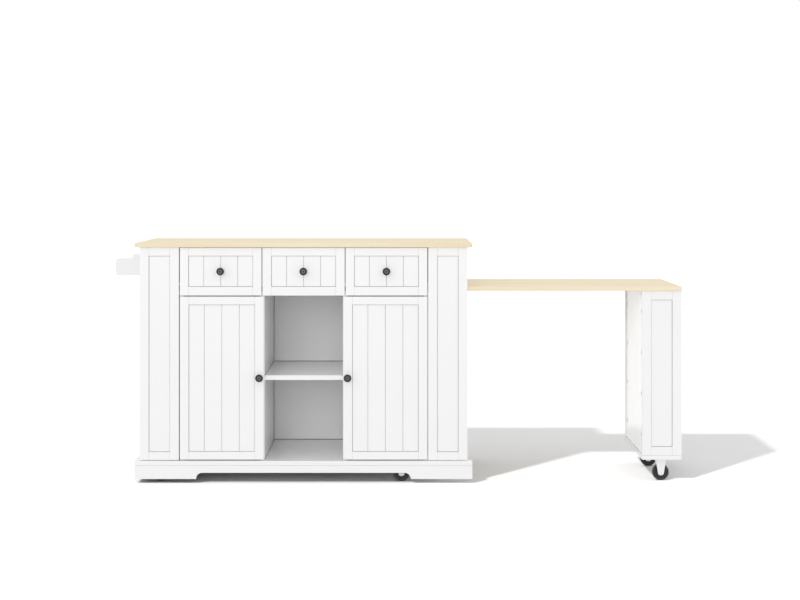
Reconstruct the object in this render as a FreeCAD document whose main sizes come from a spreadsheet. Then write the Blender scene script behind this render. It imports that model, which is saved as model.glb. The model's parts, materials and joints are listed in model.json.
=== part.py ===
"""A rolling kitchen island with a pull-out table, as a parametric document.

The cabinet stands on four casters. Behind its framed corner pilasters it has three drawers over two door
compartments and an open bay. A table at a lower height slides out of a slot under the drawers, along the
cabinet's length, and rolls on two casters under its own framed leg. The table is drawn pulled out.

All lengths are millimetres. X runs along the island towards the table, Y towards its back and Z up. Places
are written from the cabinet's centre line, its centre depth and the floor. place() then moves them to the
part's own origin, which is on the floor under the middle of the whole object's bounding box.
"""
import FreeCAD, Part
import os
import re
import Sketcher

doc = FreeCAD.newDocument("KitchenIsland")
sheet = doc.addObject("Spreadsheet::Sheet", "Sizes")

SIZES = (
    # the part's origin, seen from the cabinet's centre
    ("origin_x", 366.5),
    ("origin_y", -7.5),
    # worktop
    ("worktop_length", 1309),
    ("worktop_depth", 600),
    ("worktop_thick", 16),
    ("worktop_bottom", 914),
    ("worktop_round", 1.5),
    # carcass: boards, floor, decks and shelves
    ("body_length", 1271.6),
    ("body_depth", 544),
    ("panel_thick", 16),
    ("floor_top", 87),
    ("floor_thick", 17),
    ("deck_thick", 12),
    ("lower_deck_bottom", 731),
    ("upper_deck_bottom", 763),
    ("partition_outer", 482),
    ("bay_width", 304.8),
    ("shelf_bottom", 397),
    ("centre_shelf_thick", 18),
    ("centre_shelf_setback", 4),
    ("side_shelf_depth", 480),
    ("back_width", 963.2),
    ("back_thick", 12),
    ("back_groove_pitch", 80),
    ("back_groove_edge", 81.6),
    # the bay in the right end of the floor, where the table leg stands when the table is in
    ("notch_start", 484),
    ("notch_depth", 532),
    # plinth boards
    ("plinth_bottom", 17),
    ("plinth_thick", 16),
    ("foot_length", 238.5),
    ("arch_rise", 22.5),
    # framed fronts laid over the carcass
    ("front_thick", 16),
    ("recess_depth", 5),
    ("groove_width", 3),
    ("groove_depth", 3),
    ("pilaster_width", 152.2),
    ("pilaster_recess", 82),
    ("pilaster_bottom_rail", 33),
    ("pilaster_top_rail", 33.6),
    ("door_edge", 480.2),
    ("door_width", 325.4),
    ("door_bottom", 90.4),
    ("door_height", 632.5),
    ("door_recess", 256.6),
    ("door_bottom_rail", 30.8),
    ("door_top_rail", 31.5),
    ("door_groove_pitch", 68),
    ("drawer_bottom", 726.8),
    ("drawer_height", 185.7),
    ("side_drawer_width", 317.2),
    ("middle_drawer_width", 319.2),
    ("drawer_recess", 250.4),
    ("drawer_bottom_rail", 34.3),
    ("drawer_top_rail", 31.8),
    ("drawer_groove_pitch", 66),
    # drawer boxes and their slides
    ("box_bottom", 782),
    ("box_height", 112),
    ("box_depth", 470),
    ("box_thick", 12),
    ("box_floor_thick", 5),
    ("box_floor_raise", 8),
    ("slide_gap", 12.7),
    ("slide_middle", 838),
    ("rail_length", 450),
    ("rail_height", 42),
    ("rail_depth", 12.2),
    ("rail_metal", 1.5),
    ("rail_setback", 4),
    ("runner_length", 440),
    ("runner_height", 37),
    ("runner_depth", 9),
    # concealed door hinges
    ("cup_radius", 13),
    ("cup_depth", 9.5),
    ("cup_setback", 18),
    ("cup_end_distance", 85),
    ("flange_width", 20),
    ("flange_height", 44),
    ("flange_thick", 1.2),
    ("hinge_plate_depth", 46),
    ("hinge_plate_height", 32),
    ("hinge_plate_thick", 3),
    ("hinge_plate_setback", 14),
    ("hinge_arm_depth", 48),
    ("hinge_arm_height", 13),
    ("hinge_arm_thick", 13),
    ("hinge_arm_setback", 3),
    # knobs
    ("knob_radius", 15),
    ("knob_reach", 27),
    ("knob_foot_radius", 8),
    ("knob_foot_thick", 2),
    ("knob_neck_radius", 4.5),
    ("knob_head_thick", 11),
    ("knob_edge", 2),
    ("knob_ring_radius", 10),
    ("knob_ring_width", 1.2),
    ("door_knob_x", 171),
    ("door_knob_height", 408),
    ("drawer_knob_height", 821),
    # towel rack on the left side
    ("rack_reach", 102.2),
    ("rack_height", 66),
    ("rack_bottom", 802.5),
    ("rack_spacing", 440),
    ("rack_bracket_thick", 16),
    ("rack_corner", 12),
    ("rack_bar_radius", 10),
    ("rack_bar_inset", 28),
    ("rack_bar_socket", 6),
    # table
    ("table_end", 1471),
    ("table_length", 1233),
    ("table_depth", 540),
    ("table_bottom", 744),
    ("table_thick", 16),
    ("leg_width", 154),
    ("leg_depth", 524),
    ("leg_bottom", 86),
    ("leg_floor_thick", 16.5),
    ("leg_bottom_rail", 33.8),
    ("leg_top_rail", 35.6),
    ("leg_inner_setback", 4.5),
    # casters: all six wheels are alike
    ("wheel_radius", 32),
    ("wheel_width", 22),
    ("wheel_edge", 2.5),
    ("wheel_rim_radius", 24),
    ("wheel_hub_radius", 9),
    ("wheel_hub_width", 24.4),
    ("wheel_web_width", 14),
    ("axle_radius", 4),
    ("axle_clearance", 0.05),
    ("axle_head_radius", 6.5),
    ("axle_head_thick", 2.5),
    ("fork_gap", 25),
    ("fork_metal", 2.5),
    ("fork_top_width", 43),
    ("fork_tip_width", 23),
    ("fork_tip_drop", 12),
    ("fork_tip_round", 9.5),
    ("plate_length", 64),
    ("plate_width", 52),
    ("cabinet_caster_right", 380),
    ("cabinet_caster_left", -560),
    ("cabinet_caster_y", 232),
    ("leg_caster_x", 1395),
    ("leg_caster_front", -215),
    ("leg_caster_rear", 130),
)
ALIASES = {alias for alias, value in SIZES}

SIDES = (("left", "-"), ("right", "+"))
FACES = (("front", "-"), ("rear", "+"))
FRONT_Y = "-(body_depth + front_thick) / 2"
FRONT_FACE = "-(body_depth / 2 + front_thick)"
PILASTER_HEIGHT = "worktop_bottom - floor_top"
DIVIDER_BOTTOM = "upper_deck_bottom + deck_thick"
OUTER_DIVIDER_X = "(partition_outer - panel_thick / 2)"
INNER_DIVIDER_X = "((bay_width + panel_thick) / 2)"
SIDE_BAY_WIDTH = "(partition_outer - 2 * panel_thick - bay_width / 2)"
SIDE_BAY_X = "((partition_outer + bay_width / 2) / 2)"
LEG_X = "(table_end - leg_width / 2)"

TO_BACK = FreeCAD.Rotation(FreeCAD.Vector(1, 0, 0), -90)
TO_FRONT = FreeCAD.Rotation(FreeCAD.Vector(1, 0, 0), 90)

nodes = []


def fill_sheet():
    """Writes each driving dimension to its own cell and names the cell."""
    for row, (alias, value) in enumerate(SIZES, start=1):
        sheet.set(f"A{row}", alias.replace("_", " "))
        sheet.set(f"B{row}", str(value))
        sheet.setAlias(f"B{row}", alias)
    doc.recompute()


def as_cell(match):
    """A word of a formula, written as the sheet's cell if it is one of the aliases."""
    word = match.group()
    return f"Sizes.{word}" if word in ALIASES else word


def bind(item, prop, text):
    """Ties one property of an item to the sheet."""
    item.setExpression(prop, re.sub(r"[a-z_]+", as_cell, text))


def place(item, x, y, z):
    """Puts an item at a place written from the cabinet's centre and the floor."""
    bind(item, "Placement.Base.x", f"{x} - origin_x")
    bind(item, "Placement.Base.y", f"{y} - origin_y")
    bind(item, "Placement.Base.z", z)


def make_node(name, *pieces):
    """Names a sub-part: one object, or a group of separate solids."""
    node = pieces[0]
    if len(pieces) > 1:
        node = doc.addObject("Part::Compound", name)
        node.Links = list(pieces)
    node.Label = name
    nodes.append(node)


# ---------------------------------------------------------------- simple shapes


def board(name, size, centre, bottom):
    """A flat board of the given length, depth and height, centred on x and y and standing on bottom."""
    item = doc.addObject("Part::Box", name)
    for prop, text in zip(("Length", "Width", "Height"), size):
        bind(item, prop, text)
    place(item, f"{centre[0]} - ({size[0]}) / 2", f"{centre[1]} - ({size[1]}) / 2", bottom)
    return item


def cylinder(name, radius, length, start, turn):
    """A round bar from its start, turned from upright to its own direction."""
    item = doc.addObject("Part::Cylinder", name)
    bind(item, "Radius", radius)
    bind(item, "Height", length)
    item.Placement.Rotation = turn
    place(item, *start)
    return item


def fuse(name, *pieces):
    """One solid from touching pieces."""
    item = doc.addObject("Part::MultiFuse", name)
    item.Shapes = list(pieces)
    return item


def cut(name, base, *tools):
    """The base with the tools taken away."""
    item = doc.addObject("Part::Cut", name)
    item.Base = base
    item.Tool = fuse(f"{name}_tools", *tools) if len(tools) > 1 else tools[0]
    return item


# ---------------------------------------------------------------- sketched shapes


def new_body(name):
    """An empty body for sketched features."""
    return doc.addObject("PartDesign::Body", name)


def sketch_on(body, role):
    """A sketch on one of the body's own origin planes."""
    sketch = body.newObject("Sketcher::SketchObject", f"{body.Name}_sketch")
    plane = next(item for item in body.Origin.OriginFeatures if item.Role == role)
    sketch.AttachmentSupport = [(plane, "")]
    sketch.MapMode = "FlatFace"
    return sketch


def outline(body, role, points):
    """A closed outline of straight lines, each corner tied to the sheet."""
    sketch = sketch_on(body, role)
    last = len(points) - 1
    for index in range(len(points)):
        start = FreeCAD.Vector(index, index % 2, 0)
        end = FreeCAD.Vector(index + 1, (index + 1) % 2, 0)
        sketch.addGeometry(Part.LineSegment(start, end), False)
    for index in range(len(points)):
        following = 0 if index == last else index + 1
        sketch.addConstraint(Sketcher.Constraint("Coincident", index, 2, following, 1))
    for index, corner in enumerate(points):
        for kind, text in zip(("DistanceX", "DistanceY"), corner):
            number = sketch.addConstraint(Sketcher.Constraint(kind, -1, 1, index, 1, 1.0))
            bind(sketch, f"Constraints[{number}]", text)
    doc.recompute()
    return sketch


def rectangle(body, role, low, high):
    """A rectangle from its low corner to its high corner."""
    return outline(body, role, [low, (high[0], low[1]), high, (low[0], high[1])])


def circle(body, role, centre, radius):
    """A circle whose centre and radius are tied to the sheet."""
    sketch = sketch_on(body, role)
    start = FreeCAD.Vector(1, 1, 0)
    sketch.addGeometry(Part.Circle(start, FreeCAD.Vector(0, 0, 1), 2), False)
    for kind, text in zip(("DistanceX", "DistanceY"), centre):
        number = sketch.addConstraint(Sketcher.Constraint(kind, -1, 1, 0, 3, 1.0))
        bind(sketch, f"Constraints[{number}]", text)
    number = sketch.addConstraint(Sketcher.Constraint("Radius", 0, 2.0))
    bind(sketch, f"Constraints[{number}]", radius)
    doc.recompute()
    return sketch


def pad(body, sketch, length, symmetric=False):
    """Material of the given length on a sketch."""
    feature = body.newObject("PartDesign::Pad", f"{body.Name}_pad")
    feature.Profile = sketch
    feature.SideType = "Symmetric" if symmetric else "One side"
    bind(feature, "Length", length)
    doc.recompute()
    return feature


def pocket(body, sketch, length, symmetric=False, along_normal=False):
    """Material of the given depth taken away at a sketch, behind it unless along its normal."""
    feature = body.newObject("PartDesign::Pocket", f"{body.Name}_pocket")
    feature.Profile = sketch
    feature.SideType = "Symmetric" if symmetric else "One side"
    feature.Reversed = along_normal
    bind(feature, "Length", length)
    doc.recompute()
    return feature


def revolve(body, sketch):
    """A full turn of a sketch about the body's Y axis."""
    feature = body.newObject("PartDesign::Revolution", f"{body.Name}_turn")
    feature.Profile = sketch
    feature.ReferenceAxis = (sketch, ["V_Axis"])
    feature.Angle = 360
    doc.recompute()


def round_edges(body, feature, radius, wanted):
    """A fillet on the edges of a feature that the test wants."""
    edges = [f"Edge{index}" for index, edge in enumerate(feature.Shape.Edges, start=1) if wanted(edge)]
    fillet = body.newObject("PartDesign::Fillet", f"{body.Name}_fillet")
    fillet.Base = (feature, edges)
    bind(fillet, "Radius", radius)
    doc.recompute()


def value(alias):
    """The number in a cell."""
    return sheet.get(alias)


# ---------------------------------------------------------------- framed fronts


def frame_boards(name, width, height, recess, rails, centre, bottom):
    """Two stiles of full height and the two rails between them."""
    stile = f"(({width}) - {recess}) / 2"
    offset = f"(({width}) + {recess}) / 4"
    bottom_rail, top_rail = rails
    boards = []
    for side, sign in SIDES:
        stile_centre = (f"{centre[0]} {sign} {offset}", centre[1])
        boards.append(board(f"{name}_{side}_stile", (stile, "front_thick", height), stile_centre, bottom))
    boards.append(board(f"{name}_bottom_rail", (recess, "front_thick", bottom_rail), centre, bottom))
    top_rail_bottom = f"{bottom} + {height} - {top_rail}"
    boards.append(board(f"{name}_top_rail", (recess, "front_thick", top_rail), centre, top_rail_bottom))
    return boards


def infill(name, height, recess, rails, centre, bottom, facing, pitch=None):
    """The panel inside a frame, set back from its show face, with three grooves if a pitch is given."""
    away = "+" if facing == "-" else "-"
    panel_height = f"({height}) - {rails[0]} - {rails[1]}"
    panel_bottom = f"{bottom} + {rails[0]}"
    panel_centre = (centre[0], f"{centre[1]} {away} recess_depth / 2")
    panel = board(f"{name}_infill", (recess, "front_thick - recess_depth", panel_height), panel_centre, panel_bottom)
    if pitch is None:
        return panel
    show_face = f"{centre[1]} {facing} (front_thick / 2 - recess_depth)"
    groove_y = f"{show_face} {away} groove_depth / 2"
    grooves = []
    for step in (-1, 0, 1):
        groove_centre = (f"{centre[0]} + {step} * {pitch}", groove_y)
        size = ("groove_width", "groove_depth", panel_height)
        grooves.append(board(f"{name}_groove", size, groove_centre, panel_bottom))
    return cut(f"{name}_grooved", panel, *grooves)


def make_pilasters():
    """The four framed corner pilasters, two facing the front and two facing the back."""
    rails = ("pilaster_bottom_rail", "pilaster_top_rail")
    for face, facing in FACES:
        for side, sign in SIDES:
            name = f"{face}_{side}_pilaster"
            centre = (f"{sign} (body_length - pilaster_width) / 2", f"{facing} (body_depth + front_thick) / 2")
            boards = frame_boards(
                name, "pilaster_width", PILASTER_HEIGHT, "pilaster_recess", rails, centre, "floor_top"
            )
            panel = infill(name, PILASTER_HEIGHT, "pilaster_recess", rails, centre, "floor_top", facing)
            make_node(name, *boards, panel)


# ---------------------------------------------------------------- cabinet


def make_worktop():
    """The wooden worktop with its edges slightly rounded."""
    body = new_body("worktop")
    half = ("worktop_length / 2", "worktop_depth / 2")
    sketch = rectangle(body, "XY_Plane", (f"-{half[0]}", f"-{half[1]}"), half)
    slab = pad(body, sketch, "worktop_thick")
    round_edges(body, slab, "worktop_round", lambda edge: True)
    place(body, "0", "0", "worktop_bottom")
    make_node("worktop", body)


def make_floor():
    """The cabinet's floor, open at its right end so that the table leg can stand inside."""
    body = new_body("base_board")
    end = "worktop_length / 2"
    edge = "worktop_depth / 2"
    notch = "notch_depth / 2"
    points = [
        (f"-{end}", f"-{edge}"),
        (end, f"-{edge}"),
        (end, f"-{notch}"),
        ("notch_start", f"-{notch}"),
        ("notch_start", notch),
        (end, notch),
        (end, edge),
        (f"-{end}", edge),
    ]
    pad(body, outline(body, "XY_Plane", points), "floor_thick")
    place(body, "0", "0", "floor_top - floor_thick")
    make_node("base_board", body)


def make_plinths():
    """Plinth boards with a low arch between two feet at the front and back, and a plain one at the left."""
    height = "(floor_top - floor_thick - plinth_bottom)"
    arch_half = "(worktop_length / 2 - foot_length - arch_rise)"
    for face, facing in FACES:
        centre_y = f"{facing} (worktop_depth - plinth_thick) / 2"
        whole = board(
            f"{face}_plinth_board", ("worktop_length", "plinth_thick", height), ("0", centre_y), "plinth_bottom"
        )
        gap_size = (f"2 * {arch_half}", "plinth_thick", "arch_rise")
        tools = [board(f"{face}_arch", gap_size, ("0", centre_y), "plinth_bottom")]
        for side, sign in SIDES:
            start = (f"{sign} {arch_half}", f"{centre_y} - plinth_thick / 2", "plinth_bottom")
            tools.append(cylinder(f"{face}_arch_{side}", "arch_rise", "plinth_thick", start, TO_BACK))
        make_node(f"{face}_plinth", cut(f"{face}_plinth_arched", whole, *tools))
    size = ("plinth_thick", "worktop_depth - 2 * plinth_thick", height)
    centre = ("-(worktop_length - plinth_thick) / 2", "0")
    make_node("left_plinth", board("left_plinth", size, centre, "plinth_bottom"))


def make_side_panels():
    """The full left side, and the short right side above the table's slot."""
    left = ("panel_thick", "body_depth", PILASTER_HEIGHT)
    centre = ("-(body_length - panel_thick) / 2", "0")
    make_node("left_side_panel", board("left_side_panel", left, centre, "floor_top"))
    right = ("panel_thick", "body_depth", "worktop_bottom - upper_deck_bottom")
    centre = ("(body_length - panel_thick) / 2", "0")
    make_node("right_side_panel", board("right_side_panel", right, centre, "upper_deck_bottom"))


def make_partitions():
    """Upright boards under the lower deck: outer ones behind the pilasters, centre ones beside the bay."""
    size = ("panel_thick", "body_depth", "lower_deck_bottom - floor_top")
    for place_name, distance in (("outer", OUTER_DIVIDER_X), ("centre", INNER_DIVIDER_X)):
        for side, sign in SIDES:
            name = f"{side}_{place_name}_partition"
            make_node(name, board(name, size, (f"{sign} {distance}", "0"), "floor_top"))


def make_shelves():
    """The open bay's shelf and one shelf behind each door, set back from its hinges."""
    centre_depth = "body_depth - centre_shelf_setback"
    size = ("bay_width", centre_depth, "centre_shelf_thick")
    make_node("centre_shelf", board("centre_shelf", size, ("0", "centre_shelf_setback / 2"), "shelf_bottom"))
    for side, sign in SIDES:
        name = f"{side}_shelf"
        size = (SIDE_BAY_WIDTH, "side_shelf_depth", "panel_thick")
        centre = (f"{sign} {SIDE_BAY_X}", "(body_depth - side_shelf_depth) / 2")
        make_node(name, board(name, size, centre, "shelf_bottom"))


def make_decks():
    """The lower deck that the table slides on, the upper deck above it, and the drawer dividers."""
    inside = "(body_length / 2 - panel_thick)"
    size = (f"{inside} + partition_outer", "body_depth", "deck_thick")
    centre = (f"(partition_outer - {inside}) / 2", "0")
    make_node("lower_deck", board("lower_deck", size, centre, "lower_deck_bottom"))
    size = (f"2 * {inside}", "body_depth", "deck_thick")
    make_node("upper_deck", board("upper_deck", size, ("0", "0"), "upper_deck_bottom"))
    size = ("panel_thick", "body_depth", f"worktop_bottom - ({DIVIDER_BOTTOM})")
    dividers = []
    for distance in (OUTER_DIVIDER_X, INNER_DIVIDER_X):
        for side, sign in SIDES:
            dividers.append(board("divider", size, (f"{sign} {distance}", "0"), DIVIDER_BOTTOM))
    make_node("drawer_dividers", *dividers)


def make_back():
    """The one-piece back between the rear pilasters, with upright grooves in its outer face."""
    body = new_body("back_panel")
    sketch = rectangle(body, "XZ_Plane", ("-back_width / 2", "0"), ("back_width / 2", PILASTER_HEIGHT))
    pad(body, sketch, "back_thick")
    first = "back_groove_edge - back_width / 2 - groove_width / 2"
    groove = rectangle(body, "XZ_Plane", (first, "0"), (f"{first} + groove_width", PILASTER_HEIGHT))
    channel = pocket(body, groove, "groove_depth", along_normal=True)
    pattern = body.newObject("PartDesign::LinearPattern", "back_grooves")
    pattern.Originals = [channel]
    pattern.Direction = (groove, ["H_Axis"])
    pattern.Occurrences = 11
    bind(pattern, "Length", "10 * back_groove_pitch")
    body.Tip = pattern
    place(body, "0", "body_depth / 2 + back_thick", "floor_top")
    make_node("back_panel", body)


# ---------------------------------------------------------------- knobs, doors and drawers


def make_knob(name, x, z):
    """A round knob: a foot, a waisted neck and a flat head with a ring turned into its face."""
    ring_low = "(knob_ring_radius - knob_ring_width)"
    ring_high = "(knob_ring_radius + knob_ring_width)"
    head_back = "(knob_reach - knob_head_thick)"
    points = [
        ("0", "0"),
        ("knob_foot_radius", "0"),
        ("knob_foot_radius", "-knob_foot_thick"),
        ("knob_neck_radius", "-2 * knob_foot_thick"),
        ("knob_neck_radius", f"-{head_back}"),
        ("knob_radius", f"-({head_back} + 2 * knob_edge)"),
        ("knob_radius", "-(knob_reach - 1.5 * knob_edge)"),
        ("knob_radius - knob_edge", "-(knob_reach - 0.3 * knob_edge)"),
        (ring_high, "-knob_reach"),
        ("knob_ring_radius", "-(knob_reach - knob_ring_width)"),
        (ring_low, "-knob_reach"),
        ("0", "-knob_reach"),
    ]
    body = new_body(name)
    revolve(body, outline(body, "XY_Plane", points))
    place(body, x, FRONT_FACE, z)
    make_node(name, body)


def make_hinge_cup(name, x, z):
    """A cup sunk in the door's back, with its flange let in flush."""
    door_back = "-body_depth / 2"
    cup = cylinder(f"{name}_cup", "cup_radius", "cup_depth", (x, door_back, z), TO_FRONT)
    flange = board(
        f"{name}_flange", ("flange_width", "flange_thick", "flange_height"),
        (x, f"{door_back} - flange_thick / 2"), f"{z} - flange_height / 2"
    )
    return fuse(name, cup, flange)


def make_hinge_arm(name, sign, z):
    """The arm that stays on the partition, and its mounting plate."""
    wall = "(partition_outer - panel_thick)"
    plate = board(
        f"{name}_plate", ("hinge_plate_thick", "hinge_plate_depth", "hinge_plate_height"),
        (f"{sign} ({wall} - hinge_plate_thick / 2)", "-body_depth / 2 + hinge_plate_setback + hinge_plate_depth / 2"),
        f"{z} - hinge_plate_height / 2"
    )
    arm_x = f"{sign} ({wall} - hinge_plate_thick - hinge_arm_thick / 2)"
    arm = board(
        f"{name}_arm", ("hinge_arm_thick", "hinge_arm_depth", "hinge_arm_height"),
        (arm_x, "-body_depth / 2 + hinge_arm_setback + hinge_arm_depth / 2"),
        f"{z} - hinge_arm_height / 2"
    )
    return fuse(name, plate, arm)


def make_doors():
    """Two framed, grooved doors, each with a knob and two hinge cups; the arms belong to the cabinet."""
    rails = ("door_bottom_rail", "door_top_rail")
    arms = []
    for side, sign in SIDES:
        name = f"{side}_door"
        centre = (f"{sign} (door_edge - door_width / 2)", FRONT_Y)
        boards = frame_boards(name, "door_width", "door_height", "door_recess", rails, centre, "door_bottom")
        panel = infill(
            name, "door_height", "door_recess", rails, centre, "door_bottom", "-", "door_groove_pitch"
        )
        cup_x = f"{sign} (door_edge - cup_setback)"
        cups = []
        heights = (
            ("lower", "(door_bottom + cup_end_distance)"),
            ("upper", "(door_bottom + door_height - cup_end_distance)"),
        )
        for level, z in heights:
            cups.append(make_hinge_cup(f"{side}_{level}_hinge", cup_x, z))
            arms.append(make_hinge_arm(f"{side}_{level}_hinge_arm", sign, z))
        outer = 0 if side == "left" else 1
        boards[outer] = cut(f"{name}_bored_stile", boards[outer], *cups)
        make_node(name, *boards, panel)
        make_node(f"{side}_hinge_cups", *cups)
        make_knob(f"{side}_door_knob", f"{sign} door_knob_x", "door_knob_height")
    make_node("hinge_arms", *arms)


def make_drawer_box(name, width, centre_x):
    """The box behind a drawer front: two sides, a front and back between them, and a raised floor."""
    box_y = "(box_depth - body_depth) / 2"
    inside = f"({width} - 2 * box_thick)"
    boards = []
    for side, sign in SIDES:
        centre = (f"{centre_x} {sign} ({width} - box_thick) / 2", box_y)
        boards.append(board(f"{name}_{side}", ("box_thick", "box_depth", "box_height"), centre, "box_bottom"))
    for face, facing in FACES:
        centre = (centre_x, f"{box_y} {facing} (box_depth - box_thick) / 2")
        boards.append(board(f"{name}_{face}", (inside, "box_thick", "box_height"), centre, "box_bottom"))
    floor_size = (inside, "box_depth - 2 * box_thick", "box_floor_thick")
    boards.append(board(f"{name}_floor", floor_size, (centre_x, box_y), "box_bottom + box_floor_raise"))
    make_node(name, *boards)


def make_slide(name, sign, centre_x, bay_width):
    """One side's slide: the cabinet's channel and the runner on the drawer box inside it."""
    wall = f"({bay_width}) / 2"
    rail_bottom = "slide_middle - rail_height / 2"
    rail_y = "-body_depth / 2 + rail_setback + rail_length / 2"
    whole = board(
        f"{name}_rail", ("rail_depth", "rail_length", "rail_height"),
        (f"{centre_x} {sign} ({wall} - rail_depth / 2)", rail_y), rail_bottom
    )
    hollow = board(
        f"{name}_hollow", ("rail_depth - rail_metal", "rail_length", "rail_height - 2 * rail_metal"),
        (f"{centre_x} {sign} ({wall} - (rail_depth + rail_metal) / 2)", rail_y), f"{rail_bottom} + rail_metal"
    )
    runner_x = f"{centre_x} {sign} ({wall} - slide_gap + runner_depth / 2)"
    runner = board(
        f"{name}_runner", ("runner_depth", "runner_length", "runner_height"),
        (runner_x, "-body_depth / 2 + rail_setback + runner_length / 2"), "slide_middle - runner_height / 2"
    )
    return cut(f"{name}_channel", whole, hollow), runner


def make_drawers():
    """Three drawers, each a framed grooved front, a box, a knob and a pair of runners."""
    side_x = "((door_edge + door_edge - side_drawer_width) / 2)"
    rails = ("drawer_bottom_rail", "drawer_top_rail")
    drawers = (
        ("left", "side_drawer_width", f"-{side_x}", SIDE_BAY_WIDTH, f"-{SIDE_BAY_X}"),
        ("middle", "middle_drawer_width", "0", "bay_width", "0"),
        ("right", "side_drawer_width", side_x, SIDE_BAY_WIDTH, SIDE_BAY_X),
    )
    channels = []
    for side, width, front_x, bay, bay_x in drawers:
        name = f"{side}_drawer"
        centre = (front_x, FRONT_Y)
        boards = frame_boards(f"{name}_front", width, "drawer_height", "drawer_recess", rails, centre, "drawer_bottom")
        panel = infill(
            f"{name}_front", "drawer_height", "drawer_recess", rails, centre, "drawer_bottom", "-",
            "drawer_groove_pitch"
        )
        make_node(f"{name}_front", *boards, panel)
        make_drawer_box(f"{name}_box", f"({bay} - 2 * slide_gap)", bay_x)
        make_knob(f"{name}_knob", front_x, "drawer_knob_height")
        runners = []
        for hand, sign in SIDES:
            channel, runner = make_slide(f"{name}_{hand}_slide", sign, bay_x, bay)
            channels.append(channel)
            runners.append(runner)
        make_node(f"{name}_runners", *runners)
    make_node("drawer_slide_rails", *channels)


# ---------------------------------------------------------------- towel rack


def make_towel_rack():
    """Two brackets on the left side with a round bar held in a blind hole in each."""
    side = "body_length / 2"
    bar_x = f"-({side} + rack_reach - rack_bar_inset)"
    bar_z = "rack_bottom + rack_height / 2"
    bar_length = "(rack_spacing - rack_bracket_thick + 2 * rack_bar_socket)"
    bar = cylinder("rack_bar", "rack_bar_radius", bar_length, (bar_x, f"-{bar_length} / 2", bar_z), TO_BACK)
    brackets = []
    for face, facing in FACES:
        body = new_body(f"{face}_bracket")
        sketch = rectangle(body, "XZ_Plane", ("-rack_reach", "0"), ("0", "rack_height"))
        block = pad(body, sketch, "rack_bracket_thick", symmetric=True)
        tip = -value("rack_reach")
        round_edges(body, block, "rack_corner", lambda edge: edge_is_at_x(edge, tip))
        place(body, f"-{side}", f"{facing} rack_spacing / 2", "rack_bottom")
        brackets.append(cut(f"{face}_bracket_bored", body, bar))
    make_node("rack_brackets", *brackets)
    make_node("rack_bar", bar)


def edge_is_at_x(edge, x):
    """True for an edge that runs along Y at the given x."""
    box = edge.BoundBox
    return abs(box.XMin - x) < 0.01 and abs(box.XMax - x) < 0.01 and box.YLength > 1


# ---------------------------------------------------------------- casters


def make_fork(name, x, y, top):
    """A pressed caster fork: a plate with two tapered cheeks beside the wheel."""
    body = new_body(name)
    tip = "(wheel_radius - fork_tip_drop)"
    cheeks = outline(body, "XZ_Plane", [
        ("-fork_tip_width / 2", tip),
        ("fork_tip_width / 2", tip),
        ("fork_top_width / 2", top),
        ("-fork_top_width / 2", top),
    ])
    block = pad(body, cheeks, "fork_gap + 2 * fork_metal", symmetric=True)
    low = value("wheel_radius") - value("fork_tip_drop")
    round_edges(body, block, "fork_tip_round", lambda edge: edge_is_low(edge, low))
    plate = rectangle(body, "XZ_Plane", ("-plate_length / 2", f"{top} - fork_metal"), ("plate_length / 2", top))
    pad(body, plate, "plate_width", symmetric=True)
    slot = rectangle(body, "YZ_Plane", ("-fork_gap / 2", "0"), ("fork_gap / 2", f"{top} - fork_metal"))
    pocket(body, slot, "2 * plate_length", symmetric=True)
    hole = circle(body, "XZ_Plane", ("0", "wheel_radius"), "axle_radius")
    pocket(body, hole, "2 * plate_width", symmetric=True)
    place(body, x, y, "0")
    return body


def edge_is_low(edge, z):
    """True for an edge that runs along Y at the given height."""
    box = edge.BoundBox
    return abs(box.ZMin - z) < 0.01 and abs(box.ZMax - z) < 0.01 and box.YLength > 1


def make_axle(name, x, y):
    """A riveted axle: a pin through both cheeks with a head outside each."""
    half = "(fork_gap / 2 + fork_metal)"
    pin = cylinder(f"{name}_pin", "axle_radius", f"2 * {half}", (x, f"{y} - {half}", "wheel_radius"), TO_BACK)
    heads = []
    for face, start in (("front", f"{y} - {half} - axle_head_thick"), ("rear", f"{y} + {half}")):
        place_at = (x, start, "wheel_radius")
        heads.append(cylinder(f"{name}_{face}_head", "axle_head_radius", "axle_head_thick", place_at, TO_BACK))
    return fuse(name, pin, *heads)


def make_wheel(name, x, y):
    """A caster wheel: a rounded tread, a thinner web and a hub that nearly fills the fork."""
    bore = "(axle_radius + axle_clearance)"
    half = "wheel_width / 2"
    lower = [
        (bore, "-wheel_hub_width / 2"),
        ("wheel_hub_radius", "-wheel_hub_width / 2"),
        ("wheel_hub_radius", "-wheel_web_width / 2"),
        ("wheel_rim_radius", "-wheel_web_width / 2"),
        ("wheel_rim_radius", f"-{half}"),
        ("wheel_radius - wheel_edge", f"-{half}"),
        ("wheel_radius", f"-({half} - wheel_edge)"),
    ]
    upper = [(x_text, mirrored(y_text)) for x_text, y_text in reversed(lower)]
    body = new_body(name)
    revolve(body, outline(body, "XY_Plane", lower + upper))
    place(body, x, y, "wheel_radius")
    make_node(name, body)


def mirrored(text):
    """A formula that starts with a minus sign, without it."""
    return text[1:]


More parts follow.
